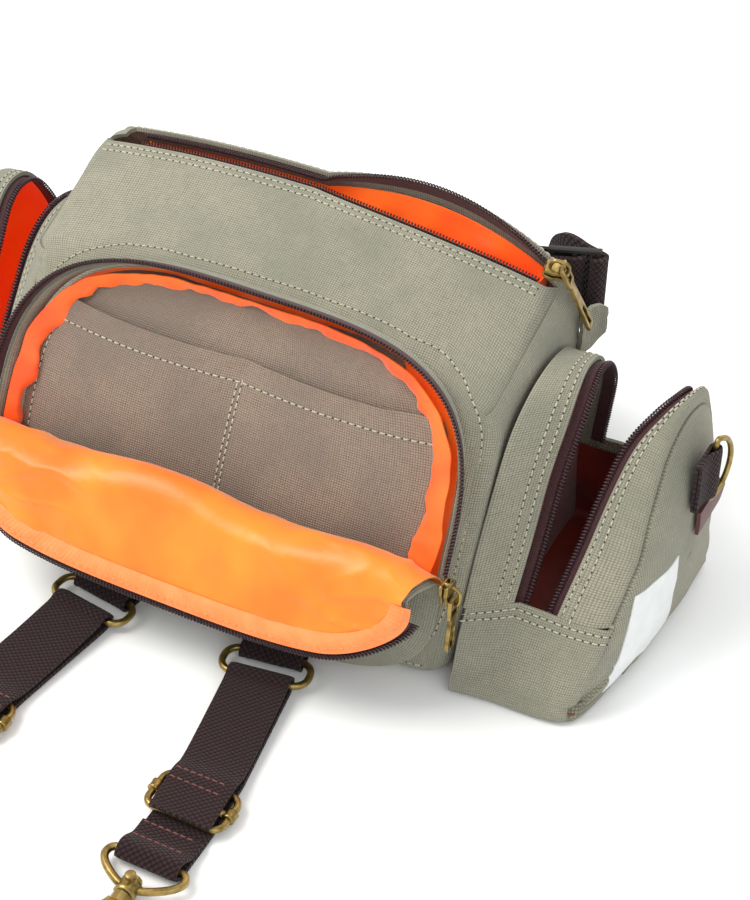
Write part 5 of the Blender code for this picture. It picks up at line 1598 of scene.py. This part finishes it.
for side, sign in (("right", 1), ("left", -1)):
    wing = cloth_sheet("wing_cloth_" + side, wing_surface(sign), 18, 18)
    finish_cloth(wing, canvas, CANVAS_THICK, 0.0)
    dress(wing, "cotton_canvas", "belt_wing_" + side)


# Zip sliders of cast zinc, brass-plated: two lips round a wedge that parts the coils, with an arch
# on top.  A long flat puller with a slot near its tip swings on each arch.

LIP_OUTLINE = ((-5.2, -2.9), (-4.4, -3.9), (-1.4, -4.0), (1.2, -2.6), (4.0, -2.3), (4.6, -1.4),
               (4.6, 1.4), (4.0, 2.3), (1.2, 2.6), (-1.4, 4.0), (-4.4, 3.9), (-5.2, 2.9))
FLANGE_OUTLINE = ((-5.0, 3.0), (-1.2, 3.1), (1.4, 1.75), (4.4, 1.5), (4.4, 2.2), (1.2, 2.6), (-1.4, 3.95),
                  (-5.0, 3.85))
WEDGE_OUTLINE = ((-5.0, -0.5), (-4.2, -1.1), (-2.4, -1.0), (-0.6, 0.0),
                 (-2.4, 1.0), (-4.2, 1.1), (-5.0, 0.5))
SLIDER_ARCH = ((-3.45, 0.0, 1.25), (-3.3, 0.0, 3.6), (-2.6, 0.0, 4.8), (-1.0, 0.0, 5.3), (1.6, 0.0, 5.3),
               (3.0, 0.0, 4.7), (3.55, 0.0, 3.2), (3.55, 0.0, 1.25))


def cut_plate(name, outline, low, high, edge=0.3):
    """Flat plate with rounded edges, from its outline."""
    count = len(outline)
    verts = [(x, y, z) for z in (low, high) for x, y in outline]
    faces = [tuple(reversed(range(count))), tuple(range(count, 2 * count))]
    faces += [(i, (i + 1) % count, count + (i + 1) % count, count + i) for i in range(count)]
    obj = one_mesh(name, verts, faces, brass)
    soft = obj.modifiers.new("soft_edge", "BEVEL")
    soft.width = edge * MM
    soft.segments = 3
    bpy.context.view_layer.objects.active = obj
    bpy.ops.object.modifier_apply(modifier=soft.name)
    obj.data.shade_smooth()
    return obj


def zip_slider(where, centre, along, out):
    u = Vector(along).normalized()
    v = Vector(out).cross(u).normalized()
    turn = Matrix((u, v, u.cross(v))).transposed().to_4x4()
    parts = []
    for end in (-1, 1):
        low, high = sorted((end * 0.95, end * 1.8))
        parts.append(cut_plate("lip", LIP_OUTLINE, low, high))
        for edge in (-1, 1):
            outline = [(x, edge * y) for x, y in FLANGE_OUTLINE][::edge]
            low, high = sorted((end * 0.45, end * 1.2))
            parts.append(cut_plate("flange", outline, low, high, 0.15))
    parts.append(cut_plate("wedge", WEDGE_OUTLINE, -1.2, 1.2, 0.2))
    bend = open_curve(SLIDER_ARCH, 24)
    parts.append(bent_wire("arch", bend, (0, 1, 0), 1.5, 8, False))
    slider = joined(where + "_slider_body", parts)
    slider.data.transform(Matrix.Translation(Vector(centre) * MM) @ turn)
    bpy.ops.object.select_all(action="DESELECT")
    slider.select_set(True)
    bpy.ops.object.shade_smooth_by_angle(angle=radians(40.0))
    fit_metal(slider, where + "_zip_slider")


zip_slider("main", (95.0, 44.6, 128.2), (0.90, 0.26, -0.33), (0.34, 0.05, 0.94))
zip_slider("front", (104.3, -64.5, 56.0), (0.0, -0.1, -1.0), (1.0, 0.0, 0.0))
for node in ("main_zip_puller", "front_zip_puller", "hook_body_right", "hook_body_left", "hook_gate_right",
             "hook_gate_left"):
    keep_solid(node, brass, 0.2)


# Stitching: lockstitch in thick cotton thread, about eight stitches to the inch.  Each stitch is a
# little arched thread that dips into its needle holes, where dark discs on the cloth are painted shade.

STITCH_PITCH = 3.1
STITCH_LENGTH = 2.4
STITCH_THICK = 0.62
STITCH_RINGS = ((-0.5, 0.35, -0.30), (-0.42, 0.8, -0.02), (-0.2, 1.0, 0.16), (0.2, 1.0, 0.16),
                (0.42, 0.8, -0.02), (0.5, 0.35, -0.30))
HOLE_RADIUS = 0.42


def sewing_thread(name, dark, light):
    """Spun cotton thread: matt, twisted, a little uneven in its dye."""
    material = new_material(name)
    place = add_node(material, "TexCoord").outputs["Object"]
    twist = add_node(material, "TexNoise", {"Vector": place, "Scale": 900.0})
    dyed = add_node(material, "Mix", {"Factor": twist, "A": linear(dark), "B": linear(light)},
        data_type="RGBA")
    set_shader(material, {"Base Color": dyed, "Roughness": 0.85})
    return material


def stitch_places(cloth, guide):
    """Middle, way and outward direction of each stitch along a guide laid on to a cloth's surface."""
    tree = surface_tree(cloth)
    hits = [tree.find_nearest(Vector(p)) for p in guide]
    points = [hit[0] for hit in hits]
    found = []
    for i, share in even_steps(points, STITCH_PITCH)[:-1]:
        ahead = (points[min(i + 1, len(points) - 1)] - points[i])
        if ahead.length > 1e-6:
            found.append((points[i].lerp(points[i + 1], share), ahead.normalized(), hits[i][1]))
    return found


def sewn(name, cloth, guides, thread, slot_name, holes=True):
    """All the stitches of a few rows on one cloth, as one piece, and dark discs of painted shade at the
    needle holes between them.
    """
    verts, faces, hole_verts, hole_faces = [], [], [], []
    for guide in guides:
        for middle, ahead, out in stitch_places(cloth, guide):
            side = out.cross(ahead).normalized()
            first = len(verts)
            for along, wide, lift in STITCH_RINGS:
                centre = middle + ahead * STITCH_LENGTH * along + out * lift
                for k in range(6):
                    c, s = cos(k * pi / 3), sin(k * pi / 3)
                    verts.append(centre + (side * c + out * s) * STITCH_THICK / 2 * wide)
            for r in range(len(STITCH_RINGS) - 1):
                for k in range(6):
                    a, b = first + r * 6 + k, first + r * 6 + (k + 1) % 6
                    faces.append((a, b, b + 6, a + 6))
            # Dark disc of painted shade in the needle hole.
            start = len(hole_verts)
            centre = middle + ahead * STITCH_PITCH / 2 + out * 0.07
            hole_verts += [centre + (ahead * cos(k * pi / 3) + side * sin(k * pi / 3)) * HOLE_RADIUS
                           for k in range(6)]
            hole_faces.append(tuple(range(start, start + 6)))
    pieces = [one_mesh(name, verts, faces, thread)]
    if holes:
        pieces.append(one_mesh(name + "_holes", hole_verts, hole_faces, painted_hole_shade))
    for piece in pieces:
        dress(piece, slot_name)


def surface_row(place, start, end, steps=120):
    """Guide along a straight line between two places on a sheet's surface."""
    shares = [i / steps for i in range(steps + 1)]
    return [place(mix(start[0], end[0], share), mix(start[1], end[1], share)) for share in shares]


cream = sewing_thread("cream_cotton_thread", "#8F8A76", "#D8D3C0")
rust = sewing_thread("rust_brown_thread", "#5E3330", "#8F5A52")
bright = sewing_thread("orange_thread", "#D8601C", "#FFB070")
# Flat dark colour of the hole discs: painted shade.
painted_hole_shade = new_material("needle_hole_in_shadow")
set_shader(painted_hole_shade, {"Base Color": linear("#3A382F"), "Roughness": 1.0})


def front_at(s, t):
    return front_panel(2.0 * s - 1.0, t)


def back_at(s, t):
    return back_panel(2.0 * s - 1.0, t)


def pocket_seam(offset):
    """Row on the front panel just outside the pocket's band."""
    guide = []
    for i in range(161):
        angle = mix(-0.28 * pi, 1.28 * pi, i / 160)
        x, z = ring_point(angle, POCKET_HALF_WIDTH * BAND_SHRINK + offset, POCKET_RISE * 0.93 + offset,
                          POCKET_DROP * 0.97 + offset)
        guide.append(Vector((x, front_y(z) + wall_clear(x, z) + dents(x, z), z)))
    return guide


front_rows = [surface_row(front_at, (0.05, t), (0.96, t)) for t in (0.984, 0.964)]
front_rows += [pocket_seam(4.5), surface_row(front_at, (0.03, 0.05), (0.97, 0.05))]
sewn("stitches_bag_front", bag_pieces[0], front_rows, cream, "cotton_canvas")
sewn("stitches_bag_back", bag_pieces[1], [surface_row(back_at, (0.05, 0.965), (0.96, 0.965)),
                                          surface_row(back_at, (0.05, 0.935), (0.96, 0.935))],
     cream, "cotton_canvas")
slip_at = wall_sheet(12.0, 99.0, 4.4, 3.0)
slip_seams = (((0.02, 0.86), (0.98, 0.86)), ((0.502, 0.86), (0.502, 0.06)),
              ((0.492, 0.84), (0.492, 0.06)), ((0.018, 0.9), (0.018, 0.1)), ((0.982, 0.9), (0.982, 0.1)))
slip_rows = [surface_row(slip_at, start, end) for start, end in slip_seams]
sewn("stitches_slip_pocket", slip, slip_rows, cream, "inner_canvas")
sewn("stitches_flap_binding", edge_binding, [surface_row(binding, (0.01, 0.3), (0.99, 0.3))], bright,
     "satin_lining", False)
for side in ("right", "left"):
    inner, outer, foot = side_surfaces[side]
    for name, place, rows in (("inner", inner, ((0.84, 0.0, 1.0), (0.64, 0.0, 1.0))),
                              ("outer", outer, ((0.10, 0.0, 1.0), (0.24, 0.0, 1.0)))):
        cloth = bpy.data.objects["side_band_" + name + "_" + side]
        sewn("stitches_side_" + name + "_" + side, cloth,
             [surface_row(place, (first, t), (last, t)) for t, first, last in rows], cream, "cotton_canvas")
    cloth = bpy.data.objects["side_foot_" + side]
    rows = [surface_row(foot, (s, 0.0), (s, 0.95)) for s in (0.987, 0.972)]
    sewn("stitches_side_foot_" + side, cloth, rows, cream, "cotton_canvas")
for side, sign in (("right", 1), ("left", -1)):
    cloth = bpy.data.objects["strap_webbing_cloth_" + side]
    rows = []
    for y in (-146.5, -151.8, -172.0, -177.5):
        rows.append([Vector((sign * (between(STRAP_LINE, 1, y) + a), y, 8.5))
                     for a in np.linspace(-10.5, 10.5, 30)])
    sewn("stitches_strap_" + side, cloth, rows, rust, "cotton_webbing", False)
